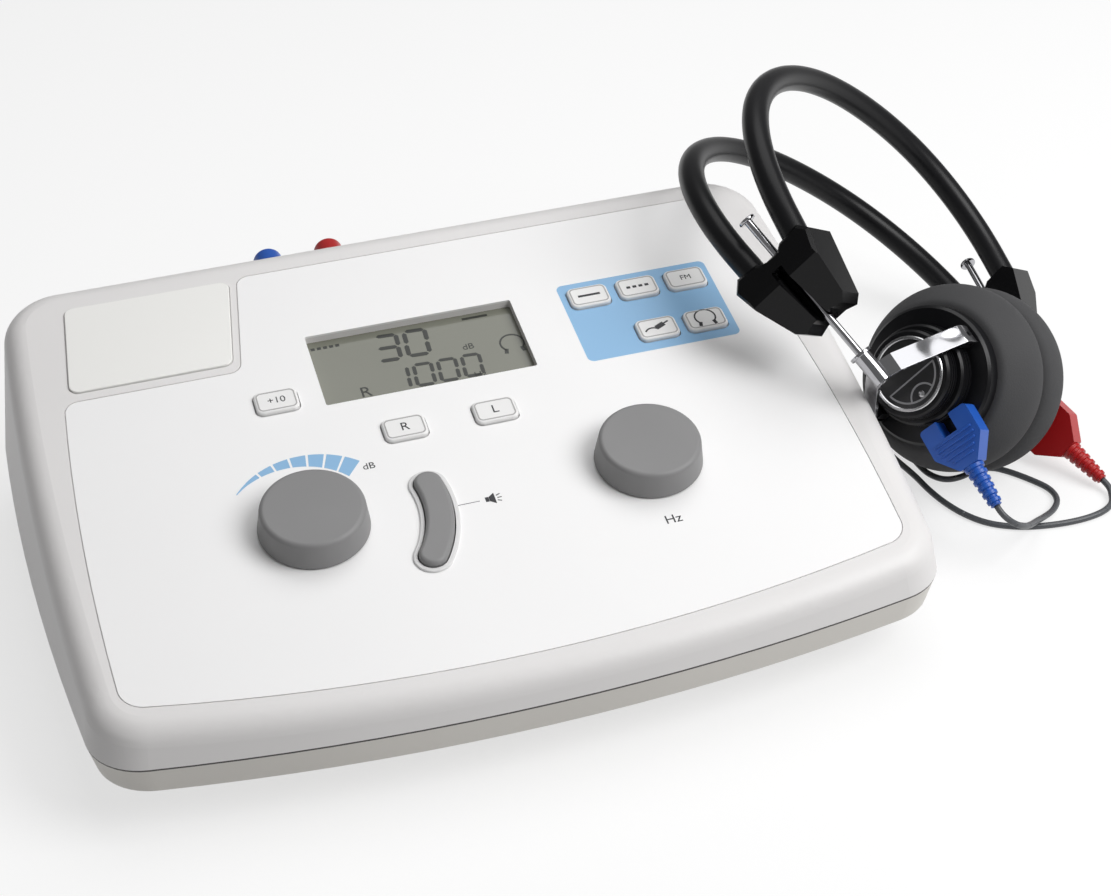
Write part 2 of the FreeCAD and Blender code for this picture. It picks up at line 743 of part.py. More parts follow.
def key_switches():
    """A tactile switch on the board under each key and under the tone bar."""
    angle = math.radians((BAR_START + BAR_END) / 2)
    bar_place = (-KNOB_X + BAR_RADIUS * math.cos(angle), KNOB_Y + BAR_RADIUS * math.sin(angle))
    heights = [(place, KEY_STEM + KEY_TRAVEL) for place in KEYS.values()]
    heights.append((bar_place, BAR_SKIRT + BAR_TRAVEL))
    pieces = []
    for (x, y), reach in heights:
        body = box(x - SWITCH_SIDE / 2, x + SWITCH_SIDE / 2, y - SWITCH_SIDE / 2, y + SWITCH_SIDE / 2,
                   -BOARD_DEPTH, SWITCH_TOP)
        button = disc(SWITCH_BUTTON_RADIUS, x, y, SWITCH_TOP, -reach - SWITCH_SLACK)
        pieces.append(body.fuse(button).removeSplitter())
    return on_panel(Part.makeCompound(pieces))


def rotary_encoders():
    pieces = []
    for side in (-1, 1):
        x = side * KNOB_X
        body = rounded_box(x, KNOB_Y, ENCODER_SIDE, ENCODER_SIDE, 1.0, -BOARD_DEPTH, -ENCODER_TOP)
        bushing = disc(BUSHING_RADIUS, x, KNOB_Y, -ENCODER_TOP, 0)
        bore = disc(SHAFT_RADIUS + SHAFT_FIT, x, KNOB_Y, -BOARD_DEPTH + 1.0, 1.0)
        pieces.append(body.fuse(bushing).cut(bore).removeSplitter())
    return on_panel(Part.makeCompound(pieces))


def shaft(side):
    return on_panel(disc(SHAFT_RADIUS, side * KNOB_X, KNOB_Y, -BOARD_DEPTH + 1.3, KNOB_HEIGHT - KNOB_ROOF))


def knob(side):
    x = side * KNOB_X
    body = Part.makeCone(KNOB_BASE_RADIUS, KNOB_TOP_RADIUS, KNOB_HEIGHT - KNOB_GAP, Vector(x, KNOB_Y, KNOB_GAP))
    body = body.makeFillet(KNOB_EDGE, edges_at_height(body, KNOB_HEIGHT))
    body = body.cut(disc(SHAFT_RADIUS + SHAFT_FIT / 2, x, KNOB_Y, 0, KNOB_HEIGHT - KNOB_ROOF))
    return on_panel(body)


def key(x, y):
    cap = rounded_box(x, y, KEY_WIDTH, KEY_HEIGHT, KEY_CORNER, -WALL - KEY_LIP / 2, KEY_RISE)
    cap = cap.makeFillet(KEY_EDGE, edges_at_height(cap, KEY_RISE))
    flange_top = -WALL - KEY_LIP / 2
    flange = rounded_box(x, y, KEY_WIDTH + 2 * KEY_LIP, KEY_HEIGHT + 2 * KEY_LIP, KEY_CORNER + KEY_LIP,
                         flange_top - KEY_FLANGE, flange_top)
    stem = box(x - 4, x + 4, y - 3, y + 3, -KEY_STEM, flange_top - KEY_FLANGE)
    return on_panel(cap.fuse([flange, stem]).removeSplitter())


def tone_bar():
    bar = bar_solid(BAR_HALF_WIDTH, -BAR_SKIRT, BAR_RISE)
    return on_panel(bar.makeFillet(BAR_EDGE, edges_at_height(bar, BAR_RISE)))


def tone_bar_surround():
    outer = bar_solid(BAR_HALF_WIDTH + SURROUND_GAP + SURROUND_WIDTH, 0, SURROUND_RISE)
    outer = outer.makeFillet(SURROUND_RISE * 0.6, edges_at_height(outer, SURROUND_RISE))
    return on_panel(outer.cut(bar_solid(BAR_HALF_WIDTH + SURROUND_GAP, -WALL, WALL)))


# ---- rear wall pieces ----
def jack(x):
    """A 6.35 mm jack: body inside the wall, threaded nose through it and a nut outside."""
    nut_face = rear_wall_y(JACK_Z) + JACK_STANDOUT
    body_front = nut_face - JACK_STANDOUT - WALL - JACK_SEAT
    nose_end = nut_face + JACK_NUT
    body = box(x - JACK_BODY_WIDTH / 2, x + JACK_BODY_WIDTH / 2, body_front - JACK_BODY_DEPTH, body_front,
               JACK_Z - JACK_BODY_HEIGHT / 2, JACK_Z + JACK_BODY_HEIGHT / 2 - 1.0)
    nose = rear_cylinder(JACK_NOSE - 0.1, x, JACK_Z, body_front, nose_end)
    nut = rear_cylinder(JACK_NUT_RADIUS, x, JACK_Z, nut_face, nose_end)
    bore = rear_cylinder(JACK_BORE, x, JACK_Z, body_front - JACK_BODY_DEPTH + 2, nose_end + 1)
    return body.fuse([nose, nut]).cut(bore).removeSplitter()


def headset_jacks():
    return Part.makeCompound([jack(BLUE_JACK_X), jack(RED_JACK_X)])


def plug_start():
    return rear_wall_y(JACK_Z) + JACK_STANDOUT + JACK_NUT


def plug(x):
    """A straight plug whose soft relief droops from the handle's end."""
    start = plug_start()
    handle = rear_cylinder(PLUG_RADIUS, x, JACK_Z, start, start + PLUG_LENGTH)
    far_edges = [e for e in handle.Edges if e.BoundBox.YMin > start + PLUG_LENGTH - 1e-4]
    handle = handle.makeFillet(PLUG_EDGE, far_edges)
    pin = rear_cylinder(JACK_BORE - PIN_CLEARANCE, x, JACK_Z, start - PIN_LENGTH, start + 1)
    tip = turned([Vector(x, start - PIN_LENGTH - 3, JACK_Z), Vector(x, start - PIN_LENGTH, JACK_Z),
                  Vector(x + JACK_BORE - PIN_CLEARANCE, start - PIN_LENGTH, JACK_Z)],
                 Vector(x, start, JACK_Z), Vector(0, 1, 0))
    base = relief_base(x)
    relief = Part.makeCone(PLUG_RELIEF_BASE, PLUG_RELIEF_TIP, PLUG_RELIEF_LENGTH, base, plug_direction())
    root = Part.makeSphere(PLUG_RELIEF_BASE, base)
    return handle.fuse([pin, tip, relief, root]).removeSplitter()


def plug_direction():
    droop = math.radians(PLUG_RELIEF_DROOP)
    return Vector(0, math.cos(droop), -math.sin(droop))


def relief_base(x):
    return Vector(x, plug_start() + PLUG_LENGTH - PLUG_RELIEF_DROP, JACK_Z - PLUG_RELIEF_DROP)


def plug_cord_end(x):
    return relief_base(x) + plug_direction() * PLUG_RELIEF_LENGTH


def power_inlet():
    """A round low-voltage inlet in a square body."""
    y1 = rear_wall_y(INLET_Z) + JACK_STANDOUT
    y0 = y1 - INLET_DEPTH
    body = box(INLET_X - INLET_WIDTH / 2 + 0.2, INLET_X + INLET_WIDTH / 2 - 0.2, y0, y1,
               INLET_Z - INLET_HEIGHT / 2 + 0.2, INLET_Z + INLET_HEIGHT / 2 - 0.2)
    body = body.cut(rear_cylinder(INLET_BORE, INLET_X, INLET_Z, y0 + 3, y1 + 1))
    return body.fuse(rear_cylinder(INLET_PIN, INLET_X, INLET_Z, y0 + 2, y1 - 1.5)).removeSplitter()


def bezel_back():
    """The lip's back face touches the leaning wall at its lower edge."""
    return rear_wall_y(INLET_Z - SWITCH_HEIGHT / 2 - BEZEL_LIP)


def rocker_pivot_y():
    return bezel_back() + BEZEL_STANDOUT - ROCKER_PIVOT


def power_switch_frame():
    """The rocker's bezel and closed housing."""
    face = bezel_back() + BEZEL_STANDOUT
    half_w = SWITCH_WIDTH / 2
    half_h = SWITCH_HEIGHT / 2
    housing = box(SWITCH_X - half_w + 0.2, SWITCH_X + half_w - 0.2, face - SWITCH_DEPTH, face,
                  INLET_Z - half_h + 0.2, INLET_Z + half_h - 0.2)
    lip = box(SWITCH_X - half_w - BEZEL_LIP, SWITCH_X + half_w + BEZEL_LIP, bezel_back(), face,
              INLET_Z - half_h - BEZEL_LIP, INLET_Z + half_h + BEZEL_LIP)
    hollow = box(SWITCH_X - half_w + BEZEL_WALL, SWITCH_X + half_w - BEZEL_WALL, face - SWITCH_DEPTH + BEZEL_WALL,
                 face + 5, INLET_Z - half_h + BEZEL_WALL, INLET_Z + half_h - BEZEL_WALL)
    pin_hole = Part.makeCylinder(ROCKER_PIN + SHAFT_FIT, SWITCH_WIDTH - 1.2,
                                 Vector(SWITCH_X - half_w + 0.6, rocker_pivot_y(), INLET_Z), Vector(1, 0, 0))
    return housing.fuse(lip).cut(hollow).cut(pin_hole).removeSplitter()


def power_rocker():
    """A shallow V-faced rocker on a cross pin, tipped to its on side."""
    half_w = SWITCH_WIDTH / 2 - BEZEL_WALL - ROCKER_GAP
    half_h = SWITCH_HEIGHT / 2 - BEZEL_WALL - 2.5 * ROCKER_GAP
    face = ROCKER_PIVOT + 0.4
    rise = half_h * math.tan(math.radians(ROCKER_TILT))
    points = [(-half_h, -1.5), (half_h, -1.5), (half_h, face + rise), (0, face), (-half_h, face + rise)]
    outline = [Vector(SWITCH_X - half_w, y, z) for z, y in points]
    body = Part.Face(Part.makePolygon(outline + outline[:1])).extrude(Vector(2 * half_w, 0, 0))
    pin = Part.makeCylinder(ROCKER_PIN, SWITCH_WIDTH - 1.6, Vector(SWITCH_X - SWITCH_WIDTH / 2 + 0.8, 0, 0),
                            Vector(1, 0, 0))
    rocker = body.fuse(pin).removeSplitter()
    turn = Placement(Vector(0, rocker_pivot_y(), INLET_Z), Rotation(Vector(1, 0, 0), ROCKER_TILT))
    return placed(rocker, turn)


# ---- underside ----
def feet():
    """One foot near each corner and one under the middle, where the keys are pressed."""
    places = [(x, y) for x in (-FOOT_X, FOOT_X) for y in (FOOT_FRONT_Y, FOOT_REAR_Y)] + [(0, 0)]
    return Part.makeCompound([disc(FOOT_RADIUS, x, y, 0, FOOT_HEIGHT) for x, y in places])


def case_screws():
    pieces = []
    for x, y in screw_places():
        seat = FOOT_HEIGHT + SCREW_SEAT
        head = disc(SCREW_HEAD_RADIUS, x, y, seat - SCREW_HEAD, seat)
        slot = box(x - SCREW_HEAD_RADIUS, x + SCREW_HEAD_RADIUS, y - 0.5, y + 0.5, seat - SCREW_HEAD, seat - 1.2)
        pieces.append(head.cut(slot).fuse(disc(SCREW_RADIUS, x, y, seat, screw_top())).removeSplitter())
    return Part.makeCompound(pieces)


# ---- headset, near side; the far side is its mirror image ----
def tube_path(side):
    """One headband tube's centre line from the crown to its seat in the near block."""
    splay = math.radians(side * TUBE_SPLAY)

    def at(x, height):
        return Vector(x, side * TUBE_OFFSET + height * math.sin(splay), height * math.cos(splay))

    side_x = BAND_HALF_SPAN - BAND_SIDE_RADIUS
    top_z = BAND_STRAIGHT - math.sqrt((BAND_TOP_RADIUS - BAND_SIDE_RADIUS) ** 2 - side_x ** 2)
    meet = math.atan2(side_x, BAND_STRAIGHT - top_z)
    crown = at(0, top_z + BAND_TOP_RADIUS)
    between = at(-BAND_TOP_RADIUS * math.sin(meet / 2), top_z + BAND_TOP_RADIUS * math.cos(meet / 2))
    join = at(-BAND_TOP_RADIUS * math.sin(meet), top_z + BAND_TOP_RADIUS * math.cos(meet))
    half = (math.pi / 2 + meet) / 2
    bend = at(-side_x - BAND_SIDE_RADIUS * math.sin(half), BAND_STRAIGHT + BAND_SIDE_RADIUS * math.cos(half))
    foot = at(-BAND_HALF_SPAN, BAND_STRAIGHT)
    seat = at(-BAND_HALF_SPAN, -TUBE_SEAT)
    return Part.Wire([
        Part.Arc(crown, between, join).toShape(),
        Part.Arc(join, bend, foot).toShape(),
        Part.LineSegment(foot, seat).toShape(),
    ])


def band_tube(side):
    path = tube_path(side)
    start = path.Edges[0].Vertexes[0].Point
    ring = Part.Wire(Part.makeCircle(TUBE_RADIUS, start, Vector(1, 0, 0)))
    tube = path.makePipeShell([ring], True, False)
    return tube.cut(box(-BAND_GAP / 2, BIG, -BIG, BIG, -BIG, BIG))


def rod_direction():
    """Down along the near rod, leaning in towards the other earphone."""
    lean = math.radians(ROD_ANGLE)
    return Vector(math.sin(lean), 0, -math.cos(lean))


def rod_point(distance):
    return Vector(-ROD_X, 0, 0) + rod_direction() * distance


def near_block():
    """The slider block: two wings hold the tubes' ends, and the rod slides in the channel between them."""
    half = BLOCK_TOP_HALF
    foot = BLOCK_BOTTOM_HALF
    outline = [(-half, -4.2), (-half + 3.5, 0), (-6.0, -0.8), (-3.6, -2.6), (3.6, -2.6), (6.0, -0.8),
               (half - 3.5, 0), (half, -4.2), (foot, -BLOCK_BOTTOM + 2.5), (foot - 3, -BLOCK_BOTTOM),
               (4.5, -BLOCK_BOTTOM + 1.2), (-4.5, -BLOCK_BOTTOM + 1.2), (3 - foot, -BLOCK_BOTTOM),
               (-foot, -BLOCK_BOTTOM + 2.5)]
    face_points = [Vector(-BIG / 4, y, z) for y, z in outline]
    front = Part.Face(Part.makePolygon(face_points + face_points[:1])).extrude(Vector(BIG / 2, 0, 0))
    side_points = [Vector(-BLOCK_OUTER, -BIG, 5), Vector(-BLOCK_OUTER, -BIG, -BLOCK_OUTER_KNEE),
                   Vector(-BLOCK_OUTER_FOOT, -BIG, -BLOCK_BOTTOM - 1), Vector(-BLOCK_INNER_FOOT, -BIG, -BLOCK_BOTTOM - 1),
                   Vector(-BLOCK_INNER, -BIG, 5)]
    side = Part.Face(Part.makePolygon(side_points + side_points[:1])).extrude(Vector(0, 2 * BIG, 0))
    block = front.common(side)
    faces_out = [e for e in block.Edges if e.CenterOfMass.x < -BLOCK_OUTER + 0.01]
    block = block.makeChamfer(BLOCK_EDGE, faces_out)
    channel = box(-BLOCK_OUTER - 5, -BLOCK_OUTER, -BLOCK_CHANNEL / 2, BLOCK_CHANNEL / 2, -BLOCK_BOTTOM - 5, 5)
    corners = [Vector(-BLOCK_OUTER - 5, -BLOCK_CHANNEL / 2, 5), rod_point(-5) + Vector(0, -BLOCK_CHANNEL / 2, 0),
               rod_point(BLOCK_BOTTOM + 8) + Vector(0, -BLOCK_CHANNEL / 2, 0),
               Vector(-BLOCK_OUTER - 5, -BLOCK_CHANNEL / 2, -BLOCK_BOTTOM - 8)]
    channel = Part.Face(Part.makePolygon(corners + corners[:1])).extrude(Vector(0, BLOCK_CHANNEL, 0))
    bridge = box(-BLOCK_OUTER - 10, 0, -BLOCK_CHANNEL, BLOCK_CHANNEL, -BLOCK_BRIDGE_BOTTOM, -BLOCK_BRIDGE_TOP)
    block = block.cut(channel.cut(bridge))
    bore = Part.makeCylinder(ROD_RADIUS + ROD_FIT, BLOCK_BOTTOM + 20, rod_point(-10), rod_direction())
    block = block.cut(bore)
    for sign in (-1, 1):
        splay = math.radians(sign * TUBE_SPLAY)
        down = Vector(0, -math.sin(splay), -math.cos(splay))
        top = Vector(-BAND_HALF_SPAN, sign * TUBE_OFFSET, 0) - down * BAND_STRAIGHT
        block = block.cut(Part.makeCylinder(TUBE_RADIUS + 0.02, BAND_STRAIGHT + TUBE_SEAT, top, down))
    return block.removeSplitter()


def near_rod():
    down = rod_direction()
    rod = Part.makeCylinder(ROD_RADIUS, ROD_UP + ROD_DOWN, rod_point(-ROD_UP), down)
    cap = Part.makeCylinder(CAP_RADIUS, CAP_HEIGHT, rod_point(-ROD_UP), down)
    cap = cap.makeFillet(CAP_HEIGHT * 0.45, [cap.Edges[0], cap.Edges[2]])
    return rod.fuse(cap).removeSplitter()


def near_yoke():
    """A bowed strip across the back of the earphone with a socket for the rod."""
    end_x = FLANGE_BACK + YOKE_GAP
    half = [(end_x, YOKE_Y), (YOKE_SHOULDER_X, YOKE_Y), (YOKE_CROWN_X - 3.0, YOKE_CROWN_HALF)]
    points = half + [(YOKE_CROWN_X, 0)] + [(x, -y) for x, y in reversed(half)]
    outer = [(x, y) for x, y in points]
    inset = YOKE_THICKNESS
    inner_half = [(end_x, YOKE_Y - inset), (YOKE_SHOULDER_X - 0.6 * inset, YOKE_Y - inset),
                  (YOKE_CROWN_X - 3.0 - inset, YOKE_CROWN_HALF - 0.6 * inset)]
    inner = inner_half + [(YOKE_CROWN_X - 1.1 * inset, 0)] + [(x, -y) for x, y in reversed(inner_half)]
    ring = outer + list(reversed(inner))
    strip = prism([(-x, y) for x, y in ring], CUP_Z - YOKE_WIDTH / 2, CUP_Z + YOKE_WIDTH / 2)
    bends = [e for e in edges_along(strip, Vector(0, 0, 1)) if abs(e.Vertexes[0].Point.x + YOKE_SHOULDER_X) < 1.0]
    strip = strip.makeFillet(4.0, [e for e in bends if abs(abs(e.Vertexes[0].Point.y) - YOKE_Y) < 0.01])
    down = rod_direction()
    bottom = ROD_DOWN
    socket = Part.makeCylinder(SOCKET_RADIUS, SOCKET_LENGTH, rod_point(bottom - SOCKET_LENGTH), down)
    flange = Part.makeCylinder(SOCKET_FLANGE_RADIUS, SOCKET_FLANGE, rod_point(bottom - SOCKET_LENGTH), down)
    yoke = strip.fuse([socket, flange])
    yoke = yoke.cut(Part.makeCylinder(ROD_RADIUS, SOCKET_LENGTH + 20, rod_point(bottom - SOCKET_LENGTH - 10), down))
    pin_hole = Part.makeCylinder(PIVOT_PIN + ROD_FIT, 4 * YOKE_Y, Vector(-PIVOT_X, -2 * YOKE_Y, CUP_Z), Vector(0, 1, 0))
    return yoke.cut(pin_hole).removeSplitter()


def cup_turned(points):
    """Revolve (depth, radius) points about the earphone's axis; depth grows away from the head."""
    profile = [Vector(-depth, 0, CUP_Z + radius) for depth, radius in points]
    return turned(profile, Vector(0, 0, CUP_Z), Vector(1, 0, 0))


def near_earphone_case():
    outer = cup_turned([
        (CASE_FRONT, 0), (CASE_FRONT, CASE_RADIUS), (CUSHION_BACK + CASE_GAP, CASE_RADIUS),
        (CUSHION_BACK + CASE_GAP, FLANGE_RADIUS), (FLANGE_BACK - 1, FLANGE_RADIUS), (FLANGE_BACK, FLANGE_RADIUS - 1),
        (FLANGE_BACK, STEP_RADIUS), (STEP_BACK - 0.8, STEP_RADIUS), (STEP_BACK, STEP_RADIUS - 0.8),
        (STEP_BACK, BACK_RADIUS), (CASE_BACK - 0.8, BACK_RADIUS), (CASE_BACK, BACK_RADIUS - 0.8), (CASE_BACK, 0),
    ])
    room = CASE_FRONT + CASE_WALL + DRIVER_DEPTH
    hollow = cup_turned([
        (CASE_FRONT + CASE_WALL, 0), (CASE_FRONT + CASE_WALL, CASE_RADIUS - CASE_WALL),
        (room, CASE_RADIUS - CASE_WALL), (room, STEP_RADIUS - CASE_WALL),
        (STEP_BACK, STEP_RADIUS - 2 * CASE_WALL), (STEP_BACK, 0),
    ])
    grille = cup_turned([(CASE_FRONT - 1, 0), (CASE_FRONT - 1, GRILLE_RADIUS), (CASE_FRONT + CASE_WALL + 1, GRILLE_RADIUS),
                         (CASE_FRONT + CASE_WALL + 1, 0)])
    badge = cup_turned([(CASE_BACK - BADGE_DEPTH, 0), (CASE_BACK - BADGE_DEPTH, BADGE_RADIUS), (CASE_BACK + 1, BADGE_RADIUS),
                        (CASE_BACK + 1, 0)])
    case = outer.cut(hollow).cut(grille).cut(badge)
    for sign in (-1, 1):
        y0 = LUG_Y - LUG_THICKNESS / 2
        lug = box(-PIVOT_X - LUG_WIDTH / 2, -FLANGE_BACK + 0.5, y0, y0 + LUG_THICKNESS,
                  CUP_Z - LUG_WIDTH / 2, CUP_Z + LUG_WIDTH / 2)
        pin = Part.makeCylinder(PIVOT_PIN, YOKE_Y + 0.4 - y0, Vector(-PIVOT_X, y0, CUP_Z), Vector(0, 1, 0))
        piece = lug.fuse(pin)
        if sign < 0:
            piece = piece.mirror(Vector(0, 0, 0), Vector(0, 1, 0))
        case = case.fuse(piece)
    return case.removeSplitter()


def near_driver():
    front = CASE_FRONT + CASE_WALL
    radius = CASE_RADIUS - CASE_WALL - CASE_GAP
    return cup_turned([(front, 0), (front, radius), (front + DRIVER_DEPTH, radius), (front + DRIVER_DEPTH, 0)])


def near_cushion():
    """A foam cushion: a flat face to the ear, a rounded rim and a long taper to the case."""
    inner = CASE_RADIUS + CASE_GAP
    seat = CASE_FRONT - CASE_GAP
    cushion = cup_turned([
        (CUSHION_FACE, EAR_OPENING), (CUSHION_FACE, CUSHION_FACE_RADIUS),
        (CUSHION_FACE + 1.6, CUSHION_RADIUS - 1.9), (CUSHION_WIDEST - 1.8, CUSHION_RADIUS),
        (CUSHION_WIDE_END, CUSHION_RADIUS - 0.3), (CUSHION_BACK, CUSHION_BACK_RADIUS),
        (CUSHION_BACK, inner), (seat, inner), (seat, EAR_OPENING),
    ])
    return cushion


def radial_frame(angle):
    """A frame on the earphone's axis whose -z runs out to the connector, turned by an angle from straight down."""
    return Placement(Vector(0, 0, CUP_Z), Rotation(Vector(1, 0, 0), angle))


def connector_solid():
    """The lead's flat two-prong connector, drawn straight down from the earphone's axis."""
    neck = CONNECTOR_NECK
    half = CONNECTOR_HALF
    notch = CONNECTOR_NOTCH / 2
    points = [(-half, -CONNECTOR_TOP), (-notch, -CONNECTOR_TOP), (-notch, -CONNECTOR_TOP - CONNECTOR_NOTCH_DEPTH),
              (notch, -CONNECTOR_TOP - CONNECTOR_NOTCH_DEPTH), (notch, -CONNECTOR_TOP), (half, -CONNECTOR_TOP),
              (half, -CONNECTOR_SHOULDER), (neck, -CONNECTOR_BOTTOM), (-neck, -CONNECTOR_BOTTOM),
              (-half, -CONNECTOR_SHOULDER)]
    outline = [Vector(-FLANGE_BACK - 0.2, y, z) for y, z in points]
    body = Part.Face(Part.makePolygon(outline + outline[:1])).extrude(Vector(-CONNECTOR_THICKNESS, 0, 0))
    outer = [e for e in edges_along(body, Vector(1, 0, 0)) if abs(abs(e.Vertexes[0].Point.y) - half) < 0.01]
    return body.makeFillet(CONNECTOR_CORNER, outer)


def connector_x():
    return FLANGE_BACK + 0.2 + CONNECTOR_THICKNESS / 2


def relief_solid():
    """The tapered relief below the connector."""
    top = Vector(-connector_x(), 0, -CONNECTOR_BOTTOM)
    return Part.makeCone(RELIEF_BASE, RELIEF_TIP, RELIEF_LENGTH, top, Vector(0, 0, -1))


def lead_exit(side, angle):
    """Where the lead leaves the relief, and which way, in the device's frame."""
    frame = radial_frame(angle)
    end = frame.multVec(Vector(side * connector_x(), 0, -CONNECTOR_BOTTOM - RELIEF_LENGTH))
    way = frame.Rotation.multVec(Vector(0, 0, -1))
    return HEADSET.multVec(end), HEADSET.Rotation.multVec(way)


# ---- leads ----
def cord_tube(name, points):
    """A round lead of straight runs joined by tangent arcs as large as the runs allow."""
    edges = []
    start = points[0]
    radii = []
    for before, point, after in zip(points, points[1:], points[2:]):
        arrive = (point - before).normalize()
        leave = (after - point).normalize()
        turn = arrive.getAngle(leave)
        trim = 0.45 * min((point - before).Length, (after - point).Length)
        radius = trim / math.tan(turn / 2)
        radii.append(round(radius, 1))
        enter = point - arrive * trim
        depart = point + leave * trim
        inward = (leave - arrive).normalize()
        centre = point + inward * (radius / math.cos(turn / 2))
        middle = centre - inward * radius
        edges.append(Part.LineSegment(start, enter).toShape())
        edges.append(Part.Arc(enter, middle, depart).toShape())
        start = depart
    edges.append(Part.LineSegment(start, points[-1]).toShape())
    path = Part.Wire(edges)
    ring = Part.Wire(Part.makeCircle(CORD_RADIUS, points[0], points[1] - points[0]))
    tube = path.makePipeShell([ring], True, False)
    share = tube.Volume / (math.pi * CORD_RADIUS ** 2 * path.Length)
    print(name, "length", round(path.Length, 1), "volume share", round(share, 4), "radii", min(radii), radii)
    return tube


def lead(name, side, angle, route):
    """The lead from its relief to its coil."""
    end, way = lead_exit(side, angle)
    points = [end, end + way * LEAD_START] + [Vector(*p) for p in route]
    return cord_tube(name, points)


def tail(name, x, route):
    """The lead from its coil up to its plug."""
    end = plug_cord_end(x)
    points = [Vector(*p) for p in route] + [end + plug_direction() * 6.0, end]
    return cord_tube(name, points)


def coil(centre):
    """The outer shape of the lead's put-away turns."""
    ring = disc(COIL_RADIUS + COIL_HALF_WIDTH, centre.x, centre.y, 0, COIL_HEIGHT)
    ring = ring.cut(disc(COIL_RADIUS - COIL_HALF_WIDTH, centre.x, centre.y, -1, COIL_HEIGHT + 1))
    return ring.makeFillet(COIL_EDGE, edges_at_height(ring, COIL_HEIGHT))


def main():
    os.makedirs("parts", exist_ok=True)
    write("upper_case", upper_case())
    write("lower_case", lower_case())
    write("front_overlay", front_overlay())
    write("function_label", function_label())
    write("name_plate", name_plate())
    write("lcd_window", lcd_window())
    write("lcd_module", lcd_module())
    write("tone_bar_surround", tone_bar_surround())
    write("main_board", main_board())
    write("board_components", board_components())
    write("key_switches", key_switches())
    write("rotary_encoders", rotary_encoders())
    write("headset_jacks", headset_jacks())
    write("response_jack", jack(RESPONSE_JACK_X))
    write("power_inlet", power_inlet())
    write("power_switch_frame", power_switch_frame())
    write("power_rocker", power_rocker())
    write("feet", feet())
    write("case_screws", case_screws())
    for name, (x, y) in KEYS.items():
        write(name, key(x, y))
    write("tone_bar", tone_bar())
    write("level_knob", knob(-1))
    write("level_shaft", shaft(-1))
    write("frequency_knob", knob(1))
    write("frequency_shaft", shaft(1))
    for letter, sign in (("a", -1), ("b", 1)):
        tube = band_tube(sign)
        write("near_band_tube_" + letter, on_headset(tube))
        write("far_band_tube_" + letter, on_headset(mirrored(tube)))
    pieces = {
        "block": near_block(),
        "rod": near_rod(),
        "yoke": near_yoke(),
        "earphone_case": near_earphone_case(),
        "driver": near_driver(),
        "cushion": near_cushion(),
    }
    for name, piece in pieces.items():
        write("near_" + name, on_headset(piece))
        write("far_" + name, on_headset(mirrored(piece)))
    near = radial_frame(NEAR_CONNECTOR_ANGLE)
    far = radial_frame(FAR_CONNECTOR_ANGLE)
    write("blue_connector", on_headset(placed(connector_solid(), near)))
    write("red_connector", on_headset(placed(mirrored(connector_solid()), far)))
    write("blue_strain_relief", on_headset(placed(relief_solid(), near)))
    write("red_strain_relief", on_headset(placed(mirrored(relief_solid()), far)))
    write("blue_cord", lead("blue_cord", -1, NEAR_CONNECTOR_ANGLE, BLUE_ROUTE))
    write("red_cord", lead("red_cord", 1, FAR_CONNECTOR_ANGLE, RED_ROUTE))
    write("blue_cord_tail", tail("blue_cord_tail", BLUE_JACK_X, BLUE_TAIL))
    write("red_cord_tail", tail("red_cord_tail", RED_JACK_X, RED_TAIL))
    write("blue_cord_coil", coil(BLUE_COIL))
    write("red_cord_coil", coil(RED_COIL))
    write("blue_plug", plug(BLUE_JACK_X))
    write("red_plug", plug(RED_JACK_X))


main()
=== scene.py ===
import math

import bpy
from bpy.props import FloatProperty, FloatVectorProperty, IntProperty, PointerProperty
from mathutils import Matrix, Vector


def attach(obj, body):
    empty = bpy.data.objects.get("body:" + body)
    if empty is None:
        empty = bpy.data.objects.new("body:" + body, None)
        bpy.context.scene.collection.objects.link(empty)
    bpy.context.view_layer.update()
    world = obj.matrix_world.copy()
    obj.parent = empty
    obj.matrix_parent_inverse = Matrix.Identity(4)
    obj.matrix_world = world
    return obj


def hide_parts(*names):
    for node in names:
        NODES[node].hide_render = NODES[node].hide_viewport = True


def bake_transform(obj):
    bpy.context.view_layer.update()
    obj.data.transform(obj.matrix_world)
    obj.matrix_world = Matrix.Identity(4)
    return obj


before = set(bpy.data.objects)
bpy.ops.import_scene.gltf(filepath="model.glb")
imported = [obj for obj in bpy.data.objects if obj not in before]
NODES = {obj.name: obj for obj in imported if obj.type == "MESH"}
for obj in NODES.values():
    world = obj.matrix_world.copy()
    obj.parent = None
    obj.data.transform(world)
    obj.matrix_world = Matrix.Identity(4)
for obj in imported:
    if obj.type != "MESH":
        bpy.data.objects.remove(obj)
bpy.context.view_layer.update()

bl_info = {
    "name": "Hearing Test Unit",
    "version": (1, 0, 0),
    "blender": (4, 5, 0),
    "location": "3D View > Sidebar > Hearing Test",
    "description": "Finishes a desktop hearing test unit with its headset, leads, display and printed panel",
    "category": "Add Mesh",
}

# ---- places shared with the construction, in metres ----
PANEL = Matrix.Translation((0.0, 0.0395, 0.072)) @ Matrix.Rotation(math.radians(12.0), 4, "X")
HEADSET = Matrix((
    (0.75124, -0.62262, -0.21905, 0.1863),
    (0.44996, 0.2403, 0.86011, 0.0462),
    (-0.48289, -0.74471, 0.46068, 0.0629),
    (0.0, 0.0, 0.0, 1.0),
))
CAMERA = Matrix((
    (0.955088, 0.192061, -0.225654, -0.131226),
    (-0.294581, 0.532957, -0.793208, -0.585211),
    (-0.032081, 0.824057, 0.565598, 0.462612),
    (0.0, 0.0, 0.0, 1.0),
))
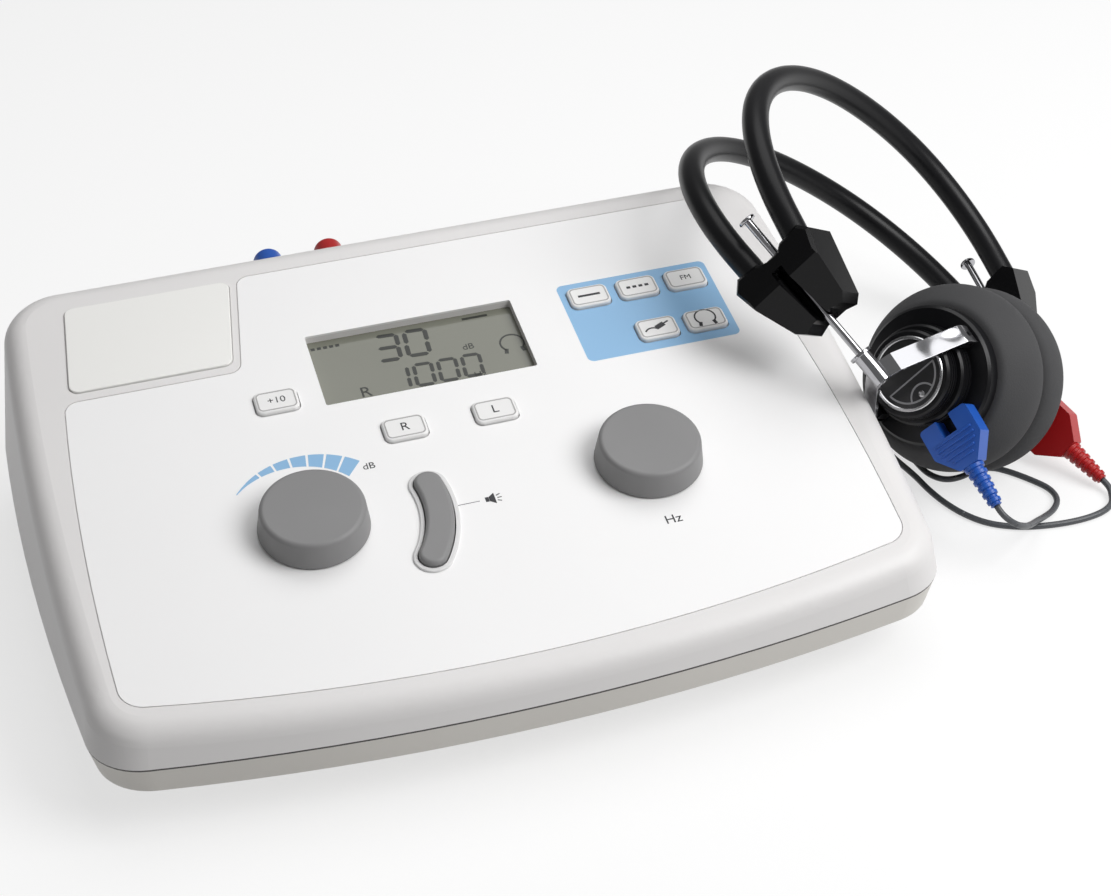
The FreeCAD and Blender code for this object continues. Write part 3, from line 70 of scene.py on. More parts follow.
# Place and size of each light.
KEY_LIGHT = ((0.80, -0.55, 0.95), 0.9)
TOP_LIGHT = ((0.35, 0.30, 1.20), 1.2)
LIGHT_AIM = (0.06, 0.0, 0.03)
WHITE = (1.0, 1.0, 1.0, 1.0)
FLOOR_SIZE = 12.0
FLOOR_GLOW = 0.66
KEYS = {
    "plus_10_db_key": (-0.0592, -0.0129),
    "right_key": (-0.0187, -0.0378),
    "left_key": (0.0142, -0.0378),
    "tone_key": (0.0649, 0.0112),
    "pulse_key": (0.0841, 0.0112),
    "fm_key": (0.1034, 0.0112),
    "talk_key": (0.0840, -0.0124),
    "headphone_key": (0.1029, -0.0124),
}
KEY_TOP = 0.0015
KEY_FACE = (0.0139, 0.0091)
SPLIT_HEIGHT = 0.029
# Height of the band of painted shade along the top of the lower shell.
GROOVE_SHADE_HEIGHT = 0.0008
LETTER_SHARE = 0.72
# Corner radius and width of the band of painted shade round each key's face.
RIM_SHADE_CORNER = 0.0019
RIM_SHADE_WIDTH = 0.0005
GLASS_TOP = -0.0034
SUPPLY_DASHES = 5
# Printed figures and words: name, text, place across and up their plane, height.
DISPLAY_FIGURES = [
    ("level_figures", "30", -0.0175, 0.0080, 0.0130),
    ("frequency_figures", "1000", -0.0165, -0.0090, 0.0108),
]
DISPLAY_WORDS = [
    ("level_unit", "dB", 0.0150, 0.0008, 0.0030),
    ("frequency_unit", "Hz", 0.0155, -0.0145, 0.0030),
    ("ear_mark", "R", -0.0268, -0.0126, 0.0052),
]
PANEL_WORDS = [
    ("level_unit_print", "dB", -0.0350, -0.0517, 0.0030),
    ("frequency_unit_print", "Hz", 0.0583, -0.1032, 0.0038),
]
KNOB = (0.0592, -0.0743)
SCALE_START = 136.0
SCALE_END = 48.5
SCALE_BANDS = 8
SCALE_FILL = 0.86
BAND_SPLAY = math.radians(7.07)
BAND_FOOT = 0.08643
BAND_BEND = 0.07155
BAND_CROWN = 0.09885
BAND_STRAIGHT = 0.0078
BAND_INSIDE = 0.0095
BAND_HALF_GAP = 0.0107
BLOCK_EDGE = 0.0007
YOKE_EDGE = 0.0004
CUP_Z = -0.05245
CUP_BACK = 0.0445
CUSHION_PROFILE = [
    (0.0138, 0.0101), (0.0030, 0.0101), (0.0020, 0.0106), (0.0016, 0.0120), (0.0016, 0.0200),
    (0.0016, 0.0292), (0.0019, 0.0318), (0.0028, 0.0336), (0.0044, 0.0350), (0.0066, 0.0356),
    (0.0090, 0.0357), (0.0118, 0.0355), (0.0146, 0.0347), (0.0176, 0.0333), (0.0206, 0.0314),
    (0.0228, 0.0298), (0.0241, 0.0286), (0.0246, 0.0272), (0.0246, 0.0236), (0.0244, 0.0228),
    (0.0138, 0.0228),
]
# Profiles on the earphone's back: depth above a base plane, and radius.
BADGE_BASE = CUP_BACK - 0.0008
BADGE_TOP = BADGE_BASE + 0.0009
BADGE_EDGE = [
    (0.0, 0.0126), (0.0010, 0.0126), (0.0013, 0.0129), (0.0013, 0.0136), (0.0010, 0.0139), (0.0, 0.0139),
]
BADGE_FACE = [(0.0, 0.0125), (0.0008, 0.0125), (0.0009, 0.0121)]
BADGE_SCREW = [(0.0008, 0.0012), (0.0012, 0.0012), (0.0014, 0.0009)]
BADGE_VENT = [(0.0008, 0.0010), (0.0011, 0.0010), (0.0011, 0.0006), (0.0009, 0.0005)]
SCREW_ANGLES = (35.0, 180.0)
SCREW_REACH = 0.0093
VENT_PLACE = (0.0045, -0.0060, 0.0)
# Depth and radius of each ridge on the case's steps, and a ridge's own profile.
RIDGES = ((0.0388, 0.0163), (0.0404, 0.0163), (0.0420, 0.0163), (0.0326, 0.0187), (0.0346, 0.0187))
RIDGE_PROFILE = [(0.0, -0.0003), (0.0001, 0.00025), (0.0006, 0.00025), (0.0007, -0.0003)]
CONNECTOR_X = 0.0347
CONNECTOR_END = 0.0395
RELIEF_LENGTH = 0.017
GRIP_COUNT = 5
GRIP_START = 0.0272
GRIP_PITCH = 0.0021
GRIP_WIDTH = 0.0168
GRIP_THICKNESS = 0.0009
GRIP_TAPER_START = 0.0305
GRIP_TAPER = 1.5
# Earphone, lead colour, tint, side of the head, tilt from straight down in degrees.
CONNECTORS = [
    ("near", "blue", (0.016, 0.105, 0.50), -1, 4.6),
    ("far", "red", (0.48, 0.012, 0.014), 1, -10.6),
]
LEAD_RADIUS = 0.0012
LEAD_REST = 0.00125


def on_table(places):
    """Route points of a lead that lies on the table."""
    return [(x, y, LEAD_REST) for x, y in places]


BLUE_LEAD = [
    (0.18124, -0.06188, 0.02617), (0.18184, -0.06489, 0.02431), (0.1864, -0.067, 0.0202),
    (0.1924, -0.0642, 0.0158), (0.198, -0.0586, 0.0111), (0.204, -0.0524, 0.0069),
    (0.2108, -0.0468, 0.0034), (0.2176, -0.042, 0.0015),
] + on_table([
    (0.2228, -0.0362), (0.2234, -0.0288), (0.2193, -0.0212), (0.2143, -0.0138), (0.2092, -0.0086),
    (0.2024, -0.0076), (0.1954, -0.0106), (0.1882, -0.0104), (0.1839, -0.0048), (0.1829, 0.0034),
    (0.183, 0.017), (0.1806, 0.038), (0.179, 0.064), (0.175, 0.09), (0.171, 0.114),
    (0.159, 0.135), (0.139, 0.15), (0.113, 0.16), (0.086, 0.171), (0.058, 0.177),
    (0.032, 0.184), (0.007, 0.185), (-0.01, 0.1815), (-0.0215, 0.1782),
])
RED_LEAD = [
    (0.24249, -0.03356, 0.00414), (0.24368, -0.03677, 0.003), (0.2429, -0.0402, 0.0021),
    (0.241, -0.0446, 0.0015), (0.237, -0.0478, 0.0013),
] + on_table([
    (0.231, -0.0498), (0.2225, -0.0506), (0.212, -0.0498), (0.201, -0.0472), (0.191, -0.0414),
    (0.185, -0.033), (0.1814, -0.0235), (0.1794, -0.0135), (0.1786, -0.003), (0.1756, 0.012),
    (0.174, 0.035), (0.17, 0.06), (0.168, 0.086), (0.163, 0.11), (0.15, 0.129),
    (0.129, 0.142), (0.103, 0.152), (0.076, 0.162), (0.049, 0.17), (0.031, 0.1762),
    (0.0205, 0.1782),
])
BLUE_TAIL = [
    (-0.04725, 0.1540, 0.0083), (-0.0470, 0.1490, 0.0105), (-0.0461, 0.1455, 0.0160),
    (-0.0450, 0.1438, 0.0250), (-0.0440, 0.1434, 0.0350), (-0.0435, 0.1436, 0.0440),
    (-0.0435, 0.14079, 0.05314), (-0.0435, 0.13694, 0.05854),
]
RED_TAIL = [
    (-0.00525, 0.1540, 0.0083), (-0.0060, 0.1490, 0.0105), (-0.0082, 0.1462, 0.0150),
    (-0.0120, 0.1446, 0.0225), (-0.0158, 0.1439, 0.0315), (-0.0184, 0.1437, 0.0415),
    (-0.0192, 0.14079, 0.05314), (-0.0192, 0.13694, 0.05854),
]
BLUE_COIL = (-0.030, 0.160)
RED_COIL = (0.012, 0.160)
COIL_LAYERS = (LEAD_REST, 0.0036, 0.00595, 0.0083)
COIL_COLUMNS = (0.00975, 0.01225, 0.01475, 0.01725)
COIL_STEPS = 12


# ---- sizes and colours a user may change ----
class StageSettings(bpy.types.PropertyGroup):
    lens: FloatProperty(
        name="Lens", description="Focal length on a 36 mm sensor", unit="CAMERA", default=66.17)
    key_energy: FloatProperty(
        name="Key light", description="Power of the large soft light", unit="POWER", default=12.1)
    top_energy: FloatProperty(
        name="Top light", description="Power of the overhead light", unit="POWER", default=6.2)
    ambient: FloatProperty(name="Ambient", description="Strength of the surroundings' light", default=0.20)
    floor_colour: FloatVectorProperty(
        name="Floor", description="Colour that the floor casts on the object", subtype="COLOR",
        default=(0.60, 0.60, 0.60))


class ConsoleSettings(bpy.types.PropertyGroup):
    upper_colour: FloatVectorProperty(
        name="Upper case", description="Colour of the upper shell", subtype="COLOR",
        default=(0.79, 0.775, 0.77))
    lower_colour: FloatVectorProperty(
        name="Lower case", description="Colour of the lower shell", subtype="COLOR",
        default=(0.76, 0.735, 0.69))
    panel_colour: FloatVectorProperty(
        name="Panel film", description="Colour of the panel film", subtype="COLOR",
        default=(0.93, 0.925, 0.925))
    label_colour: FloatVectorProperty(
        name="Label", description="Colour of the function label", subtype="COLOR", default=(0.27, 0.50, 0.76))
    key_colour: FloatVectorProperty(
        name="Keys", description="Colour of the keys", subtype="COLOR", default=(0.87, 0.865, 0.86))
    knob_colour: FloatVectorProperty(
        name="Dials", description="Colour of the dials and the tone bar", subtype="COLOR",
        default=(0.250, 0.248, 0.250))
    display_colour: FloatVectorProperty(
        name="Display", description="Colour of the display's background", subtype="COLOR",
        default=(0.180, 0.184, 0.148))


class PrintSettings(bpy.types.PropertyGroup):
    ink_colour: FloatVectorProperty(
        name="Ink", description="Colour of the printed marks", subtype="COLOR", default=(0.035, 0.035, 0.04))
    letter_height: FloatProperty(
        name="Letter height", description="Height of a key's mark", unit="LENGTH", default=0.0046)
    thickness: FloatProperty(
        name="Print thickness", description="Half of the ink's thickness", unit="LENGTH", default=0.00003)


class HeadsetSettings(bpy.types.PropertyGroup):
    band_radius: FloatProperty(
        name="Band tube radius", description="Radius of a headband tube", unit="LENGTH", default=0.0050)
    ribs: IntProperty(name="Relief ribs", description="Number of ribs on a strain relief", default=6)
    foam_colour: FloatVectorProperty(
        name="Cushion", description="Colour of the ear cushions", subtype="COLOR",
        default=(0.062, 0.062, 0.064))


class LeadSettings(bpy.types.PropertyGroup):
    lead_colour: FloatVectorProperty(
        name="Lead", description="Colour of the leads", subtype="COLOR", default=(0.085, 0.090, 0.098))
    sides: IntProperty(name="Sides", description="Faces round a lead", default=10)


# ---- general helpers ----
def deselect():
    """Leave edit mode and select nothing."""
    if bpy.context.object and bpy.context.object.mode != "OBJECT":
        bpy.ops.object.mode_set(mode="OBJECT")
    bpy.ops.object.select_all(action="DESELECT")


def only(obj):
    """Make one object the only selected and active one."""
    deselect()
    obj.select_set(True)
    bpy.context.view_layer.objects.active = obj
    return obj


def added(name):
    """The object that was just added, under its name."""
    obj = bpy.context.active_object
    obj.name = name
    return obj


def settle(obj, place=None):
    """Move a piece by a placement and bake its place into its mesh."""
    if place is not None:
        obj.matrix_world = place @ obj.matrix_world
    only(obj)
    bpy.context.view_layer.update()
    bpy.ops.object.transform_apply(location=True, rotation=True, scale=True)
    return obj


def joined(pieces, name):
    """Join pieces into one named piece."""
    deselect()
    for piece in pieces:
        piece.select_set(True)
    bpy.context.view_layer.objects.active = pieces[0]
    if len(pieces) > 1:
        bpy.ops.object.join()
    pieces[0].name = name
    pieces[0].data.name = name
    return pieces[0]


def copied(obj, place):
    """A copy with its own mesh, moved by a placement."""
    twin = obj.copy()
    twin.data = obj.data.copy()
    bpy.context.scene.collection.objects.link(twin)
    return settle(twin, place)


def clean(obj, angle=35.0):
    """Merge doubles, point the faces outwards and smooth the shallow edges."""
    only(obj)
    bpy.ops.object.mode_set(mode="EDIT")
    bpy.ops.mesh.select_all(action="SELECT")
    bpy.ops.mesh.remove_doubles(threshold=1e-6)
    bpy.ops.mesh.normals_make_consistent(inside=False)
    bpy.ops.object.mode_set(mode="OBJECT")
    bpy.ops.object.shade_smooth_by_angle(angle=math.radians(angle))
    return obj


def lathe(name, profile, sides=64, closed=False):
    """A turned piece on the Z axis from (height, radius) pairs; a closed profile makes a ring."""
    deselect()
    height, radius = profile[0]
    bpy.ops.mesh.primitive_circle_add(vertices=sides, radius=radius, location=(0, 0, height),
                                      fill_type="NOTHING" if closed else "NGON")
    obj = settle(added(name))
    bpy.ops.object.mode_set(mode="EDIT")
    bpy.ops.mesh.select_all(action="SELECT")
    for next_height, next_radius in profile[1:] + (profile[:1] if closed else []):
        bpy.ops.mesh.extrude_region_move(TRANSFORM_OT_translate={"value": (0, 0, next_height - height)})
        grow = next_radius / radius
        bpy.ops.transform.resize(value=(grow, grow, 1.0), center_override=(0, 0, next_height))
        height = next_height
        radius = next_radius
    bpy.ops.object.mode_set(mode="OBJECT")
    return clean(obj)


def rounded(obj, width, segments=3, angle=30.0):
    """Add a bevel to the sharp edges of a piece."""
    modifier = obj.modifiers.new("Bevel", "BEVEL")
    modifier.width = width
    modifier.segments = segments
    modifier.limit_method = "ANGLE"
    modifier.angle_limit = math.radians(angle)


def bevelled(obj, width, segments=3):
    """Round the sharp edges of a piece in its mesh."""
    rounded(obj, width, segments)
    only(obj)
    bpy.ops.object.modifier_apply(modifier="Bevel")
    return obj


def block(name, centre, size, bevel=0.0):
    """A box primitive at its size, with its edges rounded."""
    deselect()
    bpy.ops.mesh.primitive_cube_add(size=1.0, location=centre)
    obj = added(name)
    obj.scale = size
    settle(obj)
    return clean(bevelled(obj, bevel)) if bevel else obj


def soften(node, width):
    """Round a moulded or plated piece's sharp edges a little."""
    piece = NODES[node]
    weld = piece.modifiers.new("Weld", "WELD")
    weld.merge_threshold = 0.000002
    rounded(piece, width, angle=25.0)


def finish_piece(obj, body, material):
    """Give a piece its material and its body."""
    obj.data.materials.clear()
    obj.data.materials.append(material)
    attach(obj, body)
    return obj


# ---- shader groups ----
def add_node(tree, kind, values=None, **settings):
    """A shader node with its settings; each named socket takes a value or another node's output."""
    node = tree.nodes.new("ShaderNode" + kind)
    for setting, value in settings.items():
        setattr(node, setting, value)
    for socket, value in (values or {}).items():
        if isinstance(value, bpy.types.NodeSocket):
            tree.links.new(value, node.inputs[socket])
        else:
            node.inputs[socket].default_value = value
    return node


def new_group(name, inputs, outputs):
    """A named group with its sockets; gives the group, what enters it and what leaves it."""
    group = bpy.data.node_groups.new(name, "ShaderNodeTree")
    for label, kind, value in inputs:
        socket = group.interface.new_socket(name=label, in_out="INPUT", socket_type="NodeSocket" + kind)
        socket.default_value = value
    for label, kind in outputs:
        group.interface.new_socket(name=label, in_out="OUTPUT", socket_type="NodeSocket" + kind)
    return group, group.nodes.new("NodeGroupInput").outputs, group.nodes.new("NodeGroupOutput").inputs


def moulded_grain_group():
    """Spark-eroded grain: fine pits over a slow waviness, as a height and a tone."""
    group, entry, leave = new_group(
        "moulded_grain",
        [("Vector", "Vector", (0, 0, 0)), ("Grain Size", "Float", 2500.0), ("Waviness", "Float", 0.2)],
        [("Height", "Float"), ("Tone", "Float")],
    )
    place, size = entry["Vector"], entry["Grain Size"]
    fine = add_node(group, "TexNoise", {"Vector": place, "Scale": size, "Detail": 3.0, "Roughness": 0.65})
    slow = add_node(group, "TexNoise", {"Vector": place, "Scale": 22.0, "Detail": 2.0}).outputs["Fac"]
    pits = add_node(group, "TexVoronoi", {"Vector": place, "Scale": size}, feature="SMOOTH_F1")
    grain = add_node(group, "Mix", {"Factor": 0.45, 2: fine.outputs["Fac"], 3: pits.outputs["Distance"]})
    waves = add_node(group, "Math", {0: slow, 1: entry["Waviness"], 2: grain.outputs[0]},
                     operation="MULTIPLY_ADD")
    group.links.new(waves.outputs[0], leave["Height"])
    group.links.new(slow, leave["Tone"])
    return group


def drawn_lines_group():
    """Fine drawn lines along a direction, as a height and a tone."""
    group, entry, leave = new_group(
        "drawn_lines",
        [("Vector", "Vector", (0, 0, 0)), ("Stretch", "Vector", (60.0, 2400.0, 2400.0))],
        [("Height", "Float"), ("Tone", "Float")],
    )
    scale = add_node(group, "VectorMath", {0: entry["Vector"], 1: entry["Stretch"]}, operation="MULTIPLY")
    lines = add_node(group, "TexNoise", {"Vector": scale.outputs["Vector"], "Scale": 1.0, "Detail": 4.0})
    spots = add_node(group, "TexNoise", {"Vector": entry["Vector"], "Scale": 160.0})
    group.links.new(lines.outputs["Fac"], leave["Height"])
    group.links.new(spots.outputs["Fac"], leave["Tone"])
    return group


def handling_group():
    """Slight soiling and polish from hands: shifts a colour and a roughness over the surface."""
    group, entry, leave = new_group(
        "handling",
        [("Vector", "Vector", (0, 0, 0)), ("Clean", "Color", (1, 1, 1, 1)),
         ("Worn", "Color", (0.8, 0.8, 0.8, 1)), ("Low", "Float", 0.4), ("High", "Float", 0.5)],
        [("Color", "Color"), ("Roughness", "Float")],
    )
    cloud = add_node(group, "TexNoise", {"Vector": entry["Vector"], "Scale": 14.0, "Detail": 5.0})
    worn = cloud.outputs["Fac"]
    share = add_node(group, "MapRange", {"Value": worn, "From Min": 0.35, "From Max": 0.75})
    colour = add_node(group, "Mix", data_type="RGBA", values={
        0: share.outputs["Result"], 6: entry["Clean"], 7: entry["Worn"]})
    polish = add_node(group, "MapRange", {"Value": worn, "To Min": entry["Low"], "To Max": entry["High"]})
    group.links.new(colour.outputs[2], leave["Color"])
    group.links.new(polish.outputs["Result"], leave["Roughness"])
    return group


GROUP_MAKERS = {
    "moulded_grain": moulded_grain_group,
    "drawn_lines": drawn_lines_group,
    "handling": handling_group,
}
GROUPS = {}


def shader_group(name):
    """The named group, built once."""
    if name not in GROUPS:
        GROUPS[name] = GROUP_MAKERS[name]()
    return GROUPS[name]


FILM = {"grain": 5200.0, "bump": 0.04, "bump_distance": 0.00003}
PRINT = {"grain": 6000.0, "bump": 0.02}
METAL = {"relief": "drawn_lines", "metallic": 1.0}
SWAY_SCALE = 75.0
MATERIALS = {}


def material(name, colour, roughness=0.45, spread=0.06, wear=0.94, grain=2500.0, bump=0.06,
             bump_distance=0.00006, relief="moulded_grain", sway=0.0, **constants):
    """A Principled finish with grain, handling and, on bent metal, a slow sway of its surface."""
    if name in MATERIALS:
        return MATERIALS[name]
    made = bpy.data.materials.new(name)
    made.use_nodes = True
    tree = made.node_tree
    place = add_node(tree, "TexCoord").outputs["Object"]
    hands = add_node(tree, "Group", node_tree=shader_group("handling"), values={
        "Vector": place, "Clean": (*colour[:3], 1.0), "Worn": (*[part * wear for part in colour[:3]], 1.0),
        "Low": max(roughness - spread, 0.02), "High": roughness + spread})
    size = {"Grain Size": grain} if relief == "moulded_grain" else {}
    surface = add_node(tree, "Group", {"Vector": place, **size}, node_tree=shader_group(relief))
    height = add_node(tree, "Bump", {
        "Height": surface.outputs["Height"], "Strength": bump, "Distance": bump_distance})
    if sway:
        waves = add_node(tree, "TexNoise", {"Vector": place, "Scale": SWAY_SCALE, "Detail": 0.0})
        bend = add_node(tree, "Bump", {"Height": waves.outputs["Fac"], "Distance": sway})
        tree.links.new(bend.outputs["Normal"], height.inputs["Normal"])
    skin = tree.nodes["Principled BSDF"].inputs
    tree.links.new(hands.outputs["Color"], skin["Base Color"])
    tree.links.new(hands.outputs["Roughness"], skin["Roughness"])
    tree.links.new(height.outputs["Normal"], skin["Normal"])
    for socket, value in constants.items():
        skin[socket.replace("_", " ").title().replace("Ior", "IOR")].default_value = value
    MATERIALS[name] = made
    return made


def paint(nodes, finish):
    """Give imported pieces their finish."""
    for node in nodes:
        NODES[node].data.materials.clear()
        NODES[node].data.materials.append(finish)


# ---- soft lines ----
def spline_points(name, points):
    """The points of a smooth line that has the given route as its control points."""
    curve = bpy.data.curves.new(name, "CURVE")
    curve.dimensions = "3D"
    curve.resolution_u = 8
    spline = curve.splines.new("NURBS")
    spline.points.add(len(points) - 1)
    for point, place in zip(spline.points, points):
        point.co = (*place, 1.0)
    spline.order_u = 3
    spline.use_endpoint_u = True
    holder = bpy.data.objects.new(name, curve)
    bpy.context.scene.collection.objects.link(holder)
    bpy.context.view_layer.update()
    mesh = bpy.data.meshes.new_from_object(holder.evaluated_get(bpy.context.evaluated_depsgraph_get()))
    line = [vertex.co.copy() for vertex in mesh.vertices]
    bpy.data.objects.remove(holder)
    bpy.data.meshes.remove(mesh)
    return line


def tube_along(name, line, radius, sides):
    """A closed round tube that follows a line without twisting."""
    forward = (line[1] - line[0]).normalized()
    side = forward.orthogonal().normalized()
    vertices = []
    for index, point in enumerate(line):
        before = line[max(index - 1, 0)]
        after = line[min(index + 1, len(line) - 1)]
        ahead = (after - before).normalized()
        side = forward.rotation_difference(ahead) @ side
        forward = ahead
        across = forward.cross(side).normalized()
        for step in range(sides):
            angle = 2 * math.pi * step / sides
            vertices.append(point + radius * (math.cos(angle) * side + math.sin(angle) * across))
    faces = []
    for ring in range(len(line) - 1):
        for step in range(sides):
            a = ring * sides + step
            b = ring * sides + (step + 1) % sides
            faces.append((a, b, b + sides, a + sides))
    faces.append(tuple(reversed(range(sides))))
    faces.append(tuple(range(len(vertices) - sides, len(vertices))))
    mesh = bpy.data.meshes.new(name)
    mesh.from_pydata([tuple(v) for v in vertices], [], faces)
    for polygon in mesh.polygons:
        polygon.use_smooth = len(polygon.vertices) == 4
    obj = bpy.data.objects.new(name, mesh)
    bpy.context.scene.collection.objects.link(obj)
    return obj


def coil_points(centre):
    """The put-away turns: layer on layer, out and back, from the rear of the coil to its left side."""
    slots = []
    for layer, height in enumerate(COIL_LAYERS):
        columns = COIL_COLUMNS if layer % 2 else COIL_COLUMNS[::-1]
        slots += [(radius, height) for radius in columns]
    reach = 1.0 / math.cos(math.pi / COIL_STEPS)
    points = []
    total = COIL_STEPS * (len(slots) - 1) + COIL_STEPS // 4
    for step in range(total + 1):
        turn, part = divmod(step, COIL_STEPS)
        share = max(0.0, (part - COIL_STEPS * 0.6) / (COIL_STEPS * 0.4))
        here = slots[turn]
        there = slots[min(turn + 1, len(slots) - 1)]
        radius = (here[0] + (there[0] - here[0]) * share) * reach
        height = here[1] + (there[1] - here[1]) * share
        angle = math.pi / 2 + 2 * math.pi * step / COIL_STEPS
        points.append((centre[0] + radius * math.cos(angle), centre[1] + radius * math.sin(angle), height))
    return points


def split_line(line, distances):
    """Cut a line at distances along it into stretches that share their end points."""
    stretches = []
    current = [line[0]]
    travelled = 0.0
    cuts = list(distances)
    for a, b in zip(line, line[1:]):
        step = (b - a).length
        while cuts and travelled + step >= cuts[0]:
            cut = a.lerp(b, (cuts[0] - travelled) / step)
            if (cut - current[-1]).length > 1e-7:
                current.append(cut)
            stretches.append(current)
            current = [cut]
            cuts.pop(0)
        if (b - current[-1]).length > 1e-7:
            current.append(b)
        travelled += step
    stretches.append(current)
    return stretches


# ---- stage ----
class HEARING_OT_stage(bpy.types.Operator):
    """Add the camera, the soft lights, the pale floor and the white surroundings"""
    bl_idname = "hearing.stage"
    bl_label = "Stage"

    def execute(self, context):
        settings = context.scene.hearing_stage
        context.scene.view_settings.view_transform = "Standard"
        deselect()
        bpy.ops.object.camera_add()
        camera = context.active_object
        camera.matrix_world = CAMERA
        camera.data.lens = settings.lens
        camera.data.sensor_width = 36.0
        camera.data.clip_start = 0.01
        context.scene.camera = camera
        self.lamp("key_light", *KEY_LIGHT, settings.key_energy)
        self.lamp("top_light", *TOP_LIGHT, settings.top_energy)
        self.floor(settings)
        self.surroundings(context, settings)
        return {"FINISHED"}

    def lamp(self, name, place, size, energy):
        """A soft round light that looks at the middle of the unit."""
        bpy.ops.object.light_add(type="AREA", location=place)
        light = added(name)
        light.data.shape = "DISK"
        light.data.size = size
        light.data.energy = energy
        aim = Vector(LIGHT_AIM) - Vector(place)
        light.rotation_euler = aim.to_track_quat("-Z", "Y").to_euler()

    def floor(self, settings):
        """A pale floor that keeps the shadow: white to the eye, quieter in what it casts on the unit."""
        deselect()
        bpy.ops.mesh.primitive_plane_add(size=FLOOR_SIZE, location=(0, 0, 0))
        floor = added("floor")
        ground = bpy.data.materials.new("pale_floor")
        ground.use_nodes = True
        tree = ground.node_tree
        seen = self.seen_directly(tree, "Is Camera Ray", "Is Glossy Ray", "Is Transmission Ray")
        tone = add_node(tree, "Mix", {0: seen, 6: (*settings.floor_colour, 1.0), 7: WHITE}, data_type="RGBA")
        shader = tree.nodes["Principled BSDF"]
        shader.inputs["Roughness"].default_value = 0.9
        shader.inputs["Specular IOR Level"].default_value = 0.0
        tree.links.new(tone.outputs[2], shader.inputs["Base Color"])
        glow = add_node(tree, "Emission", {"Strength": 1.0})
        share = add_node(tree, "Math", {0: seen, 1: FLOOR_GLOW}, operation="MULTIPLY")
        mix = add_node(tree, "MixShader", {0: share.outputs[0], 1: shader.outputs[0], 2: glow.outputs[0]})
        tree.links.new(mix.outputs[0], tree.nodes["Material Output"].inputs["Surface"])
        floor.data.materials.append(ground)

    def seen_directly(self, tree, *rays):
        """A mask that is 1 for any of the named kinds of ray."""
        path = add_node(tree, "LightPath")
        mask = path.outputs[rays[0]]
        for ray in rays[1:]:
            mask = add_node(tree, "Math", {0: mask, 1: path.outputs[ray]}, operation="MAXIMUM").outputs[0]
        return mask

    def surroundings(self, context, settings):
        """A pale room: white behind the unit, and a soft light from all sides."""
        world = bpy.data.worlds.new("pale_room")
        context.scene.world = world
        world.use_nodes = True
        tree = world.node_tree
        room = tree.nodes["Background"]
        room.inputs["Color"].default_value = WHITE
        room.inputs["Strength"].default_value = settings.ambient
        seen = self.seen_directly(tree, "Is Camera Ray", "Is Transmission Ray")
        white = add_node(tree, "Background", {"Strength": 1.0})
        mix = add_node(tree, "MixShader", {0: seen, 1: room.outputs[0], 2: white.outputs[0]})
        tree.links.new(mix.outputs[0], tree.nodes["World Output"].inputs["Surface"])


# ---- leads ----
class HEARING_OT_leads(bpy.types.Operator):
    """Lay the two leads from the earphones, behind the console into their coils and up to their plugs"""
    bl_idname = "hearing.leads"
    bl_label = "Leads"

    def execute(self, context):
        settings = context.scene.hearing_leads
        jacket = material("lead_jacket", settings.lead_colour, roughness=0.38, grain=4000.0, bump=0.05,
                          bump_distance=0.00003)
        self.lead("blue", BLUE_LEAD, BLUE_COIL, BLUE_TAIL, ("near_earphone", "near_slider", "headset"),
                  (0.010, 0.022), jacket, settings.sides)
        self.lead("red", RED_LEAD, RED_COIL, RED_TAIL, ("far_earphone", "far_slider", "far_half", "headset"),
                  (0.008, 0.018, 0.075), jacket, settings.sides)
        return {"FINISHED"}

    def lead(self, colour, route, centre, tail, bodies, cuts, jacket, sides):
        """One lead in stretches cut at the given distances along its route; the last goes to the plug."""
        line = spline_points(colour + "_route", route + coil_points(centre) + tail)
        stretches = split_line(line, cuts)
        tubes = []
        for index, stretch in enumerate(stretches):
            tube = tube_along(f"{colour}_lead_{index + 1}", stretch, LEAD_RADIUS, sides)
            tube.data.materials.append(jacket)
            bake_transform(tube)
            tubes.append(tube)
        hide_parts(colour + "_cord", colour + "_cord_coil", colour + "_cord_tail")
        stubs, loose = tubes[:2], list(zip(tubes, stretches))[2:]
        for tube, stretch in loose:
            stubs = []


